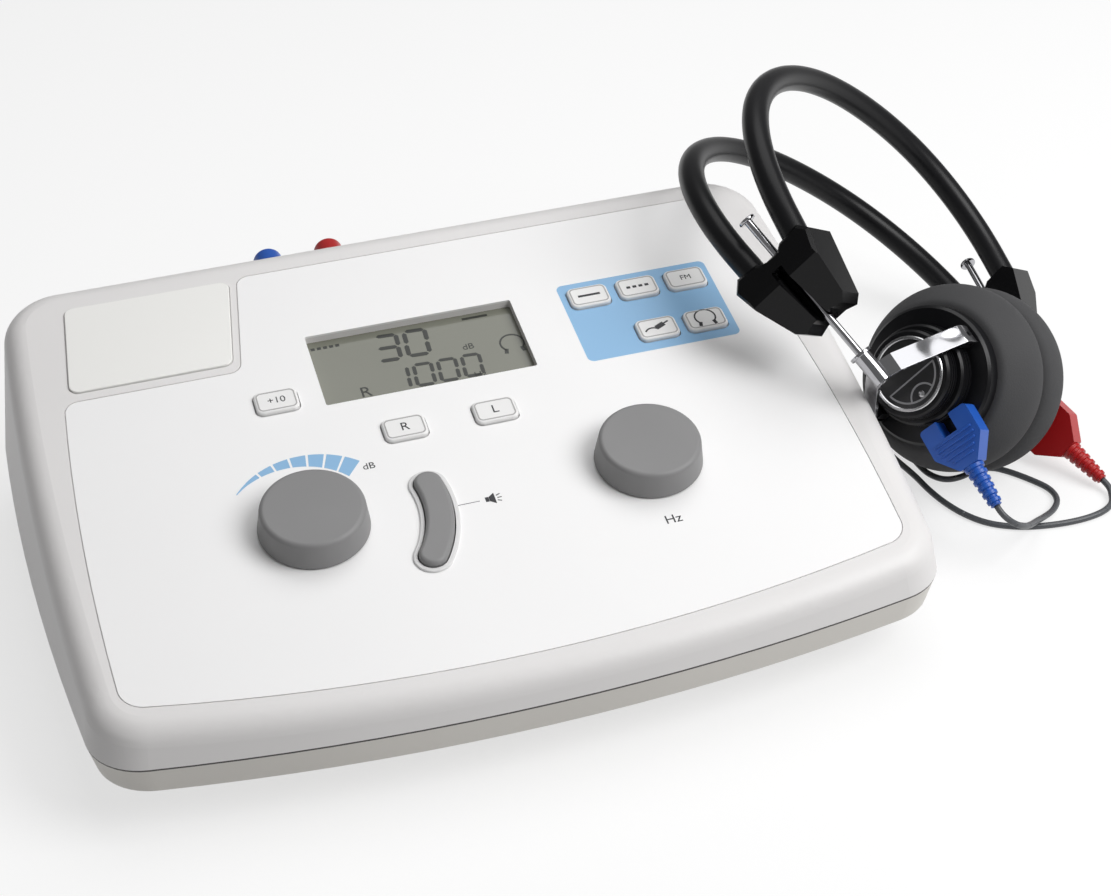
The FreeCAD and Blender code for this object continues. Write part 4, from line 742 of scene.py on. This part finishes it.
# ---- console ----
class HEARING_OT_console(bpy.types.Operator):
    """Give the shells, the panel, the keys, the dials and the small parts their finishes"""
    bl_idname = "hearing.console"
    bl_label = "Console finishes"

    def execute(self, context):
        settings = context.scene.hearing_console
        self.shells_and_films(settings)
        self.controls(settings)
        self.hidden_parts()
        return {"FINISHED"}

    def shells_and_films(self, settings):
        """Both shells, the panel film, its label and the bare plate."""
        paint(["upper_case"], material("upper_shell", settings.upper_colour, roughness=0.42, wear=0.975,
                                       grain=1700.0, bump=0.10))
        lower = material("lower_shell", settings.lower_colour, roughness=0.48, wear=0.96, grain=1700.0,
                         bump=0.12)
        # A band of painted shade along the lower shell's top edge, in the groove under the upper shell.
        self.paint_groove_shade(lower)
        paint(["lower_case"], lower)
        paint(["front_overlay"], material("panel_film", settings.panel_colour, roughness=0.40, wear=0.99,
                                          **FILM))
        paint(["function_label"], material("label_film", settings.label_colour, roughness=0.40, wear=0.97,
                                           **FILM))
        paint(["name_plate"], material("bare_plate", (0.90, 0.895, 0.87), roughness=0.25, wear=0.985,
                                       **{**FILM, "bump": 0.02}))

    def controls(self, settings):
        """Keys, dials, tone bar and display window."""
        paint(KEYS, material("key_plastic", settings.key_colour, roughness=0.40, wear=0.965, grain=3600.0))
        paint(["level_knob", "frequency_knob", "tone_bar"],
              material("dial_plastic", settings.knob_colour, roughness=0.50, wear=0.90, grain=2600.0,
                       bump=0.16))
        paint(["tone_bar_surround"],
              material("surround_plastic", (0.74, 0.735, 0.735), roughness=0.35, grain=3600.0, bump=0.04))
        paint(["lcd_window"],
              material("display_glass", settings.display_colour, roughness=0.22, wear=0.93, grain=6000.0,
                       bump=0.01, bump_distance=0.00002, coat_weight=0.25, coat_roughness=0.08))

    def hidden_parts(self):
        """Board, switches, sockets, feet, screws and drivers."""
        paint(["lcd_module"], material("display_body", (0.30, 0.31, 0.27)))
        paint(["main_board"],
              material("solder_resist", (0.02, 0.11, 0.05), roughness=0.35, grain=900.0, bump=0.10))
        paint(["board_components", "key_switches", "rotary_encoders"],
              material("component_plastic", (0.03, 0.03, 0.032), roughness=0.55))
        paint(["headset_jacks", "response_jack", "power_inlet", "power_switch_frame", "power_rocker"],
              material("socket_plastic", (0.022, 0.022, 0.024), roughness=0.42, bump=0.12))
        paint(["feet"], material("foot_rubber", (0.03, 0.03, 0.031), roughness=0.75, grain=1500.0, bump=0.20))
        paint(["case_screws", "level_shaft", "frequency_shaft"],
              material("zinc_steel", (0.55, 0.55, 0.56), roughness=0.32, **METAL))
        paint(["near_driver", "far_driver"],
              material("driver_metal", (0.42, 0.42, 0.43), roughness=0.42, **METAL))

    def paint_groove_shade(self, finish):
        """Paint shade into the lower shell's groove under the upper shell's edge: a dark band along the
        shell's top.
        """
        tree = finish.node_tree
        skin = tree.nodes["Principled BSDF"].inputs["Base Color"]
        axes = add_node(tree, "SeparateXYZ", {0: add_node(tree, "TexCoord").outputs["Object"]})
        above = add_node(tree, "Math", {0: axes.outputs["Z"], 1: SPLIT_HEIGHT - GROOVE_SHADE_HEIGHT},
                         operation="GREATER_THAN")
        # Painted shade: the band above this height takes a near-black colour, standing in for the shadow in
        # the gap between the shells.
        tone = add_node(tree, "Mix", data_type="RGBA", values={
            0: above.outputs[0], 6: skin.links[0].from_socket, 7: (0.045, 0.040, 0.036, 1.0)})
        tree.links.new(tone.outputs[2], skin)


# ---- printed marks ----
def ink():
    """The finish of the printed marks."""
    colour = bpy.context.scene.hearing_print.ink_colour
    return material("printing_ink", colour, roughness=0.55, wear=0.85, bump_distance=0.00001, **PRINT)


def ink_thickness():
    """Half of a printed mark's thickness."""
    return bpy.context.scene.hearing_print.thickness


def words(name, text, x, y, height, top):
    """Letters on the panel's plane: made as text, turned into a mesh and set down on a height."""
    deselect()
    bpy.ops.object.text_add()
    obj = bpy.context.active_object
    obj.data.body = text
    obj.data.size = height / LETTER_SHARE
    obj.data.extrude = ink_thickness()
    obj.data.align_x = "CENTER"
    obj.data.align_y = "CENTER"
    bpy.ops.object.convert(target="MESH")
    obj = added(name)
    obj.location = (x, y, top + ink_thickness())
    return settle(obj)


def flat_bar(name, x, y, width, height, top, turn=0.0, bevel=0.0):
    """A thin printed bar; a bevel rounds its ends."""
    piece = block(name, (0, 0, 0), (width, height, 2 * ink_thickness()))
    if bevel:
        bevelled(piece, bevel, segments=4)
    piece.location = (x, y, top + ink_thickness())
    piece.rotation_euler = (0, 0, turn)
    return settle(piece)


def thickened(piece):
    """Raise a flat printed piece, open for editing, to the thickness of the ink."""
    bpy.ops.mesh.select_all(action="SELECT")
    bpy.ops.mesh.extrude_region_move(TRANSFORM_OT_translate={"value": (0, 0, 2 * ink_thickness())})
    bpy.ops.object.mode_set(mode="OBJECT")
    return clean(piece)


def outline(name, x, y, width, height, corner, line, top):
    """A thin flat frame with rounded corners: a plane, rounded, inset, opened and thickened; it carries the
    painted shade round a key's face.
    """
    deselect()
    bpy.ops.mesh.primitive_plane_add(size=1.0, location=(x, y, top))
    piece = added(name)
    piece.scale = (width, height, 1.0)
    settle(piece)
    bpy.ops.object.mode_set(mode="EDIT")
    bpy.ops.mesh.select_all(action="SELECT")
    bpy.ops.mesh.bevel(offset=corner, segments=6, affect="VERTICES")
    bpy.ops.mesh.select_all(action="SELECT")
    bpy.ops.mesh.inset(thickness=line)
    bpy.ops.mesh.delete(type="FACE")
    return thickened(piece)


def arc_band(name, x, y, inner, outer, start, end, top, steps=20):
    """A thin printed arc: a strip of faces bent round a centre; inner and outer are (start, end) radii."""
    deselect()
    bpy.ops.mesh.primitive_grid_add(x_subdivisions=steps, y_subdivisions=1, size=1.0)
    piece = added(name)
    for vertex in piece.data.vertices:
        share = vertex.co.x + 0.5
        low = inner[0] + (inner[1] - inner[0]) * share
        high = outer[0] + (outer[1] - outer[0]) * share
        radius = low + (high - low) * (vertex.co.y + 0.5)
        angle = math.radians(start + (end - start) * share)
        vertex.co = (x + radius * math.cos(angle), y + radius * math.sin(angle), top)
    bpy.ops.object.mode_set(mode="EDIT")
    return thickened(piece)


def even_arc(name, x, y, inner, outer, start, end, top, steps=20):
    """A printed arc of one width."""
    return arc_band(name, x, y, (inner, inner), (outer, outer), start, end, top, steps)


def headphone_mark(name, x, y, size, top):
    """A plain headphone sign: a band and two ear pads."""
    gap = 48.0
    pieces = [even_arc(name + "_band", x, y, size * 0.42, size * 0.49, -gap, 180.0 + gap, top)]
    reach = size * (0.455 * math.cos(math.radians(gap)) + 0.02)
    drop = size * (0.455 * math.sin(math.radians(gap)) + 0.06)
    for side in (-1, 1):
        pieces.append(flat_bar(name + "_pad", x + side * reach, y - drop, size * 0.15, size * 0.26, top,
                               turn=side * 0.25, bevel=size * 0.04))
    return joined(pieces, name)


def speaker_mark(name, x, y, size, top):
    """A plain loudspeaker sign with three short sound lines."""
    pieces = [flat_bar(name + "_box", x - size * 0.30, y, size * 0.20, size * 0.34, top)]
    deselect()
    bpy.ops.mesh.primitive_cone_add(vertices=4, radius1=size * 0.62, radius2=size * 0.24, depth=size * 0.34,
                                    location=(0, 0, 0), rotation=(0, 0, math.pi / 4))
    horn = bpy.context.active_object
    horn.rotation_euler = (0, -math.pi / 2, 0)
    settle(horn)
    horn.scale = (1.0, 0.66, ink_thickness() / (size * 0.44))
    horn.location = (x - size * 0.02, y, top + ink_thickness())
    pieces.append(settle(horn))
    for along, up in ((0.36, -0.22), (0.36, 0.22), (0.40, 0.0)):
        pieces.append(flat_bar(name + "_line", x + size * along, y + size * up, size * 0.24, size * 0.06, top,
                               turn=up * 1.8))
    return joined(pieces, name)


def plug_mark(name, x, y, size, top):
    """A plain plug and lead sign."""
    lean = 0.45
    pieces = [
        flat_bar(name + "_body", x + size * 0.12, y + size * 0.05, size * 0.42, size * 0.24, top, turn=lean,
                 bevel=size * 0.08),
        flat_bar(name + "_pin", x + size * 0.40, y + size * 0.19, size * 0.26, size * 0.07, top, turn=lean),
        even_arc(name + "_lead", x - size * 0.26, y - size * 0.34, size * 0.30, size * 0.37, 40.0, 150.0,
                 top),
    ]
    return joined(pieces, name)


# Lit bars of each figure; each bar's place in widths and half heights, and whether it stands upright.
SEGMENTS = {"0": "abcdef", "1": "bc", "3": "abgcd"}
BARS = {
    "a": (0.0, 1.0, 0), "g": (0.0, 0.0, 0), "d": (0.0, -1.0, 0),
    "f": (-0.5, 0.5, 1), "b": (0.5, 0.5, 1), "e": (-0.5, -0.5, 1), "c": (0.5, -0.5, 1),
}


def digits(name, text, x, y, height, top):
    """Seven-segment digits from left x, centred on y; one bar is shaped and copied for every segment."""
    width = height * 0.60
    gap = height * 0.24
    thick = height * 0.135
    lean = Matrix(((1, 0.10, 0, 0), (0, 1, 0, 0), (0, 0, 1, 0), (0, 0, 0, 1)))
    half = height / 2
    deselect()
    bpy.ops.mesh.primitive_cylinder_add(vertices=6, radius=0.5, depth=2 * ink_thickness(),
                                        location=(0, 0, ink_thickness()))
    bar = settle(bpy.context.active_object)
    for vertex in bar.data.vertices:
        along, across = vertex.co.y, vertex.co.x
        if abs(across) < 0.01:
            vertex.co.x = along * width * 0.92
            vertex.co.y = 0.0
        else:
            vertex.co.x = math.copysign(width * 0.46 - thick / 2, along)
            vertex.co.y = math.copysign(thick / 2, across)
    pieces = []
    for index, figure in enumerate(text):
        left = x + width / 2 + index * (width + gap)
        for segment in SEGMENTS[figure]:
            right, up, upright = BARS[segment]
            stretch = half * 0.97 / width if upright else 1.0
            shape = Matrix.Rotation(upright * math.pi / 2, 4, "Z") @ Matrix.Diagonal((stretch, 1.0, 1.0, 1.0))
            aside = Matrix.Translation((right * width, up * half, 0))
            pieces.append(copied(bar, Matrix.Translation((left, y, top)) @ lean @ aside @ shape))
    bpy.data.objects.remove(bar)
    return joined(pieces, name)


class HEARING_OT_display(bpy.types.Operator):
    """Set the display's figures and signs on its glass"""
    bl_idname = "hearing.display"
    bl_label = "Display figures"

    def execute(self, context):
        top = GLASS_TOP
        dark = material("display_segments", (0.022, 0.024, 0.020), roughness=0.30, wear=1.15,
                        **{**PRINT, "bump": 0.01})
        pieces = [
            *[digits(*figure, top) for figure in DISPLAY_FIGURES],
            *[words(*word, top) for word in DISPLAY_WORDS],
            flat_bar("tone_mark", 0.0215, 0.0157, 0.0098, 0.0011, top),
            headphone_mark("phones_mark", 0.0312, -0.0014, 0.0098, top),
        ]
        for index in range(SUPPLY_DASHES):
            pieces.append(flat_bar("supply_mark", -0.0404 + index * 0.0023, 0.0142, 0.0015, 0.0013, top))
        figures = settle(joined(pieces, "display_figures"), PANEL)
        finish_piece(figures, "console", dark)
        return {"FINISHED"}


class HEARING_OT_printing(bpy.types.Operator):
    """Print the plain marks on the keys and the panel, and paint a band of shade round each key's face"""
    bl_idname = "hearing.printing"
    bl_label = "Printed marks"

    def execute(self, context):
        self.key_marks(context.scene.hearing_print.letter_height)
        self.panel_marks()
        self.level_scale(context)
        return {"FINISHED"}

    def key_marks(self, letter):
        top = KEY_TOP
        # Painted shade: a mid-grey band round the edge of each key's face, standing in for the shade on the
        # raised key's rim.
        grey = material("key_rim_painted_shade", (0.44, 0.43, 0.43), roughness=0.5, wear=0.95, bump_distance=0.00001,
                        **PRINT)
        x, y = KEYS["headphone_key"]
        marks = {
            "plus_10_db_key": [words("plus_ten", "+10", *KEYS["plus_10_db_key"], letter * 0.66, top)],
            "right_key": [words("right_letter", "R", *KEYS["right_key"], letter * 0.84, top)],
            "left_key": [words("left_letter", "L", *KEYS["left_key"], letter * 0.84, top)],
            "tone_key": [flat_bar("steady_bar", *KEYS["tone_key"], 0.0086, 0.00105, top)],
            "pulse_key": [],
            "fm_key": [words("warble_letters", "FM", *KEYS["fm_key"], letter * 0.56, top)],
            "talk_key": [plug_mark("plug_sign", *KEYS["talk_key"], 0.0092, top)],
            "headphone_key": [headphone_mark("phones_sign", x, y + 0.0006, 0.0086, top)],
        }
        x, y = KEYS["pulse_key"]
        for step in (-1.5, -0.5, 0.5, 1.5):
            marks["pulse_key"].append(flat_bar("pulse_bar", x + step * 0.0024, y, 0.0015, 0.0012, top))
        for key, pieces in marks.items():
            piece = settle(joined(pieces, key + "_mark"), PANEL)
            finish_piece(piece, key + "_body", ink())
            rim_shade_band = outline(key + "_rim_shade", *KEYS[key], *KEY_FACE, RIM_SHADE_CORNER, RIM_SHADE_WIDTH, top)
            finish_piece(settle(rim_shade_band, PANEL), key + "_body", grey)

    def panel_marks(self):
        pieces = [
            *[words(*word, 0.0) for word in PANEL_WORDS],
            flat_bar("leader_line", -0.00665, -0.0777, 0.0081, 0.00022, 0.0),
            speaker_mark("speaker_sign", 0.0019, -0.0777, 0.0062, 0.0),
        ]
        piece = settle(joined(pieces, "panel_marks"), PANEL)
        finish_piece(piece, "console", ink())

    def level_scale(self, context):
        """A wedge of short bands that widens round the level dial."""
        colour = context.scene.hearing_console.label_colour
        blue = material("scale_ink", colour, roughness=0.5, wear=0.92, **PRINT)
        step = (SCALE_END - SCALE_START) / SCALE_BANDS
        pieces = []
        for index in range(SCALE_BANDS):
            start = SCALE_START + step * index
            end = start + step * (1.0 if index == 0 else SCALE_FILL)
            shares = (index / SCALE_BANDS, (index + SCALE_FILL) / SCALE_BANDS)
            low = [0.0306 - 0.0049 * (share ** 1.6) for share in shares]
            high = [0.0309 + 0.0031 * math.sin(math.pi * 0.62 * share) for share in shares]
            pieces.append(arc_band("scale_band", -KNOB[0], KNOB[1], low, high, start, end, 0.0, steps=6))
        piece = settle(joined(pieces, "level_scale"), PANEL)
        finish_piece(piece, "console", blue)


# ---- headset ----
def band_route(side):
    """A headband tube's route from the near block over the crown to the far block, as control points."""
    centre_x = BAND_FOOT - BAND_BEND
    centre_z = BAND_STRAIGHT - math.sqrt((BAND_CROWN - BAND_BEND) ** 2 - centre_x ** 2)
    meet = math.degrees(math.atan2(centre_x, BAND_STRAIGHT - centre_z))
    flat = [(-BAND_FOOT, -BAND_INSIDE), (-BAND_FOOT, 0.0)]

    def ring(cx, cz, radius, start, end, steps):
        width = (end - start) / steps
        out = radius / math.cos(math.radians(width) / 2)
        for index in range(steps):
            angle = math.radians(start + width * (index + 0.5))
            flat.append((cx + out * math.cos(angle), cz + out * math.sin(angle)))

    ring(-centre_x, BAND_STRAIGHT, BAND_BEND, 180.0, 90.0 + meet, 5)
    ring(0.0, centre_z, BAND_CROWN, 90.0 + meet, 90.0 - meet, 6)
    ring(centre_x, BAND_STRAIGHT, BAND_BEND, 90.0 - meet, 0.0, 5)
    flat += [(BAND_FOOT, 0.0), (BAND_FOOT, -BAND_INSIDE)]
    aside, up = math.sin(BAND_SPLAY), math.cos(BAND_SPLAY)
    return [HEADSET @ Vector((x, side * (BAND_HALF_GAP + z * aside), z * up)) for x, z in flat]


def earphone_place(side):
    """The near earphone's axis as a turned piece's Z, with depth growing away from the head."""
    flip = Matrix(((0, 0, side, 0), (0, 1, 0, 0), (-side, 0, 0, CUP_Z), (0, 0, 0, 1)))
    return HEADSET @ flip


class HEARING_OT_headband(bpy.types.Operator):
    """Bend the two sleeved headband tubes in one run over the crown, and finish the blocks, rods and yokes"""
    bl_idname = "hearing.headband"
    bl_label = "Headband"

    def execute(self, context):
        settings = context.scene.hearing_headset
        sleeve = material("band_sleeve", (0.007, 0.007, 0.008), roughness=0.34, wear=1.5, grain=1400.0,
                          bump=0.10, bump_distance=0.00008, specular_ior_level=0.24)
        for letter, side in (("a", -1), ("b", 1)):
            line = spline_points("band_" + letter, band_route(side))
            tube = tube_along("headband_tube_" + letter, line, settings.band_radius, 28)
            tube.data.materials.append(sleeve)
            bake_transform(tube)
            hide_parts("near_band_tube_" + letter, "far_band_tube_" + letter)
        for part, width in (("_block", BLOCK_EDGE), ("_yoke", YOKE_EDGE)):
            soften("near" + part, width)
            soften("far" + part, width)
        paint(["near_block", "far_block"],
              material("block_plastic", (0.003, 0.003, 0.0035), roughness=0.20, wear=1.5, grain=1900.0,
                       bump=0.05, specular_ior_level=0.22))
        paint(["near_rod", "far_rod", "near_yoke", "far_yoke"],
              material("chrome_plate", (0.50, 0.50, 0.52), roughness=0.10, spread=0.04, bump=0.03,
                       sway=0.0011, **METAL))
        return {"FINISHED"}


def turned(name, profile, base, radius=0.0, sides=24, closed=False):
    """A lathed piece whose profile is given from a base depth and a base radius."""
    return lathe(name, [(base + depth, radius + out) for depth, out in profile], sides=sides, closed=closed)


class HEARING_OT_earphones(bpy.types.Operator):
    """Make the foam cushions and the details of the earphones' backs"""
    bl_idname = "hearing.earphones"
    bl_label = "Earphones"

    def execute(self, context):
        settings = context.scene.hearing_headset
        foam = material("cushion_foam", settings.foam_colour, roughness=0.72, wear=1.35, grain=1500.0,
                        bump=0.35, bump_distance=0.00025, specular_ior_level=0.15)
        case = material("earphone_plastic", (0.006, 0.006, 0.007), roughness=0.30, wear=1.4, grain=2200.0,
                        bump=0.08, specular_ior_level=0.30)
        paint(["near_earphone_case", "far_earphone_case"], case)
        for name, side in (("near", -1), ("far", 1)):
            place = earphone_place(side)
            self.cushion(name, place, foam)
            self.back(name, place, case)
        return {"FINISHED"}

    def cushion(self, name, place, foam):
        """A turned foam ring with a rounded face."""
        piece = lathe(name + "_ear_cushion", CUSHION_PROFILE, sides=96, closed=True)
        settle(piece, place)
        only(piece)
        modifier = piece.modifiers.new("Subdivision", "SUBSURF")
        modifier.levels = 1
        modifier.render_levels = 1
        bpy.ops.object.modifier_apply(modifier="Subdivision")
        clean(piece, 60.0)
        finish_piece(piece, name + "_earphone", foam)
        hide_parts(name + "_cushion")

    def back(self, name, place, case):
        """A plain metal-edged disc in the back, ribs on the steps, two screws and a vent."""
        metal = material("badge_edge", (0.62, 0.62, 0.63), roughness=0.24, bump=0.04, **METAL)
        face = material("badge_face", (0.020, 0.020, 0.021), roughness=0.30, wear=1.5, grain=3600.0,
                        bump=0.05)
        grey = material("badge_lines", (0.30, 0.30, 0.31), roughness=0.4, wear=0.9, **PRINT)
        body = name + "_earphone"
        edge = turned(name + "_badge_edge", BADGE_EDGE, BADGE_BASE, sides=72, closed=True)
        finish_piece(settle(edge, place), body, metal)
        disc = turned(name + "_badge_face", BADGE_FACE, BADGE_BASE, sides=72)
        finish_piece(settle(disc, place), body, face)
        fan = [
            even_arc(name + "_fan", 0.0, 0.0, 0.0105, 0.0112, 102.0, 258.0, BADGE_TOP, steps=24),
            even_arc(name + "_fan", -0.0108, 0.0, 0.0048, 0.0055, -72.0, 72.0, BADGE_TOP, steps=16),
            flat_bar(name + "_fan", -0.0022, 0.0, 0.0006, 0.0216, BADGE_TOP),
        ]
        finish_piece(settle(joined(fan, name + "_badge_lines"), place), body, grey)
        rings = []
        for height, radius in RIDGES:
            rings.append(turned(name + "_ridge", RIDGE_PROFILE, height, radius, sides=72, closed=True))
        finish_piece(settle(joined(rings, name + "_case_ridges"), place), body, case)
        details = []
        for angle in SCREW_ANGLES:
            turn = Matrix.Rotation(math.radians(angle), 4, "Z") @ Matrix.Translation((SCREW_REACH, 0.0, 0.0))
            details.append(settle(turned(name + "_screw", BADGE_SCREW, BADGE_BASE, sides=24), turn))
        vent = turned(name + "_vent", BADGE_VENT, BADGE_BASE, sides=24)
        details.append(settle(vent, Matrix.Translation(VENT_PLACE)))
        finish_piece(settle(joined(details, name + "_badge_screws"), place), body, metal)


class HEARING_OT_connectors(bpy.types.Operator):
    """Finish the coloured connectors and plugs, and make their ribbed strain reliefs"""
    bl_idname = "hearing.connectors"
    bl_label = "Connectors"

    def execute(self, context):
        settings = context.scene.hearing_headset
        for name, colour, tint, side, angle in CONNECTORS:
            finish = material(colour + "_plastic", tint, roughness=0.34, wear=0.88, grain=2600.0, bump=0.08)
            paint([colour + "_connector", colour + "_plug"], finish)
            self.relief(name, colour, side, angle, finish, settings.ribs)
            self.grips(name, colour, side, angle, finish)
        return {"FINISHED"}

    def frame_of(self, side, angle):
        """The connector's frame: Z runs down along the connector to its lead."""
        turn = Matrix.Translation((0, 0, CUP_Z)) @ Matrix.Rotation(math.radians(angle), 4, "X")
        down = Matrix(((1, 0, 0, side * CONNECTOR_X), (0, -1, 0, 0), (0, 0, -1, 0), (0, 0, 0, 1)))
        return HEADSET @ turn @ down

    def relief(self, name, colour, side, angle, finish, ribs):
        """A strain relief whose ribs grow thinner towards the lead."""
        start, length = CONNECTOR_END, RELIEF_LENGTH
        profile = [(start - 0.0004, 0.0033), (start, 0.0036)]
        pitch = length / ribs
        for index in range(ribs):
            low = start + pitch * index
            wide = 0.0039 - 0.0014 * index / ribs
            narrow = wide - 0.0008
            profile += [(low + pitch * 0.08, wide), (low + pitch * 0.52, wide - 0.0001),
                        (low + pitch * 0.62, narrow), (low + pitch * 0.94, narrow)]
        profile += [(start + length - 0.0003, 0.0022), (start + length, 0.0018)]
        piece = lathe(colour + "_ribbed_relief", profile, sides=28)
        settle(piece, self.frame_of(side, angle))
        finish_piece(piece, name + "_earphone", finish)
        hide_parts(colour + "_strain_relief")

    def grips(self, name, colour, side, angle, finish):
        """Finger ribs across the connector's outer face."""
        ribs = []
        for index in range(GRIP_COUNT):
            height = GRIP_START + index * GRIP_PITCH
            width = GRIP_WIDTH - max(0.0, height - GRIP_TAPER_START) * GRIP_TAPER
            ribs.append(block(colour + "_rib", (side * 0.0036, 0.0, height),
                              (GRIP_THICKNESS, width, GRIP_THICKNESS), bevel=0.0003))
        piece = settle(joined(ribs, colour + "_grip_ribs"), self.frame_of(side, angle))
        finish_piece(piece, name + "_earphone", finish)


class HEARING_PT_sidebar(bpy.types.Panel):
    """The unit's steps and settings"""
    bl_idname = "HEARING_PT_sidebar"
    bl_label = "Hearing Test"
    bl_space_type = "VIEW_3D"
    bl_region_type = "UI"
    bl_category = "Hearing Test"

    def draw(self, context):
        for step in STEPS:
            self.layout.operator(step.bl_idname)
        for holder in SETTINGS:
            group = getattr(context.scene, holder)
            for prop in group.bl_rna.properties:
                if prop.identifier not in ("rna_type", "name"):
                    self.layout.prop(group, prop.identifier)


STEPS = [HEARING_OT_stage, HEARING_OT_leads, HEARING_OT_console, HEARING_OT_display, HEARING_OT_printing,
         HEARING_OT_headband, HEARING_OT_earphones, HEARING_OT_connectors]
SETTINGS = {
    "hearing_stage": StageSettings,
    "hearing_console": ConsoleSettings,
    "hearing_print": PrintSettings,
    "hearing_headset": HeadsetSettings,
    "hearing_leads": LeadSettings,
}


def register():
    for holder, group in SETTINGS.items():
        bpy.utils.register_class(group)
        setattr(bpy.types.Scene, holder, PointerProperty(type=group))
    for step in STEPS:
        bpy.utils.register_class(step)
    bpy.utils.register_class(HEARING_PT_sidebar)


def unregister():
    bpy.utils.unregister_class(HEARING_PT_sidebar)
    for step in reversed(STEPS):
        bpy.utils.unregister_class(step)
    for holder, group in SETTINGS.items():
        delattr(bpy.types.Scene, holder)
        bpy.utils.unregister_class(group)


def main():
    register()
    bpy.ops.hearing.stage()
    bpy.ops.hearing.leads()
    bpy.ops.hearing.console()
    bpy.ops.hearing.display()
    bpy.ops.hearing.printing()
    bpy.ops.hearing.headband()
    bpy.ops.hearing.earphones()
    bpy.ops.hearing.connectors()
    deselect()


if __name__ == "__main__":
    main()
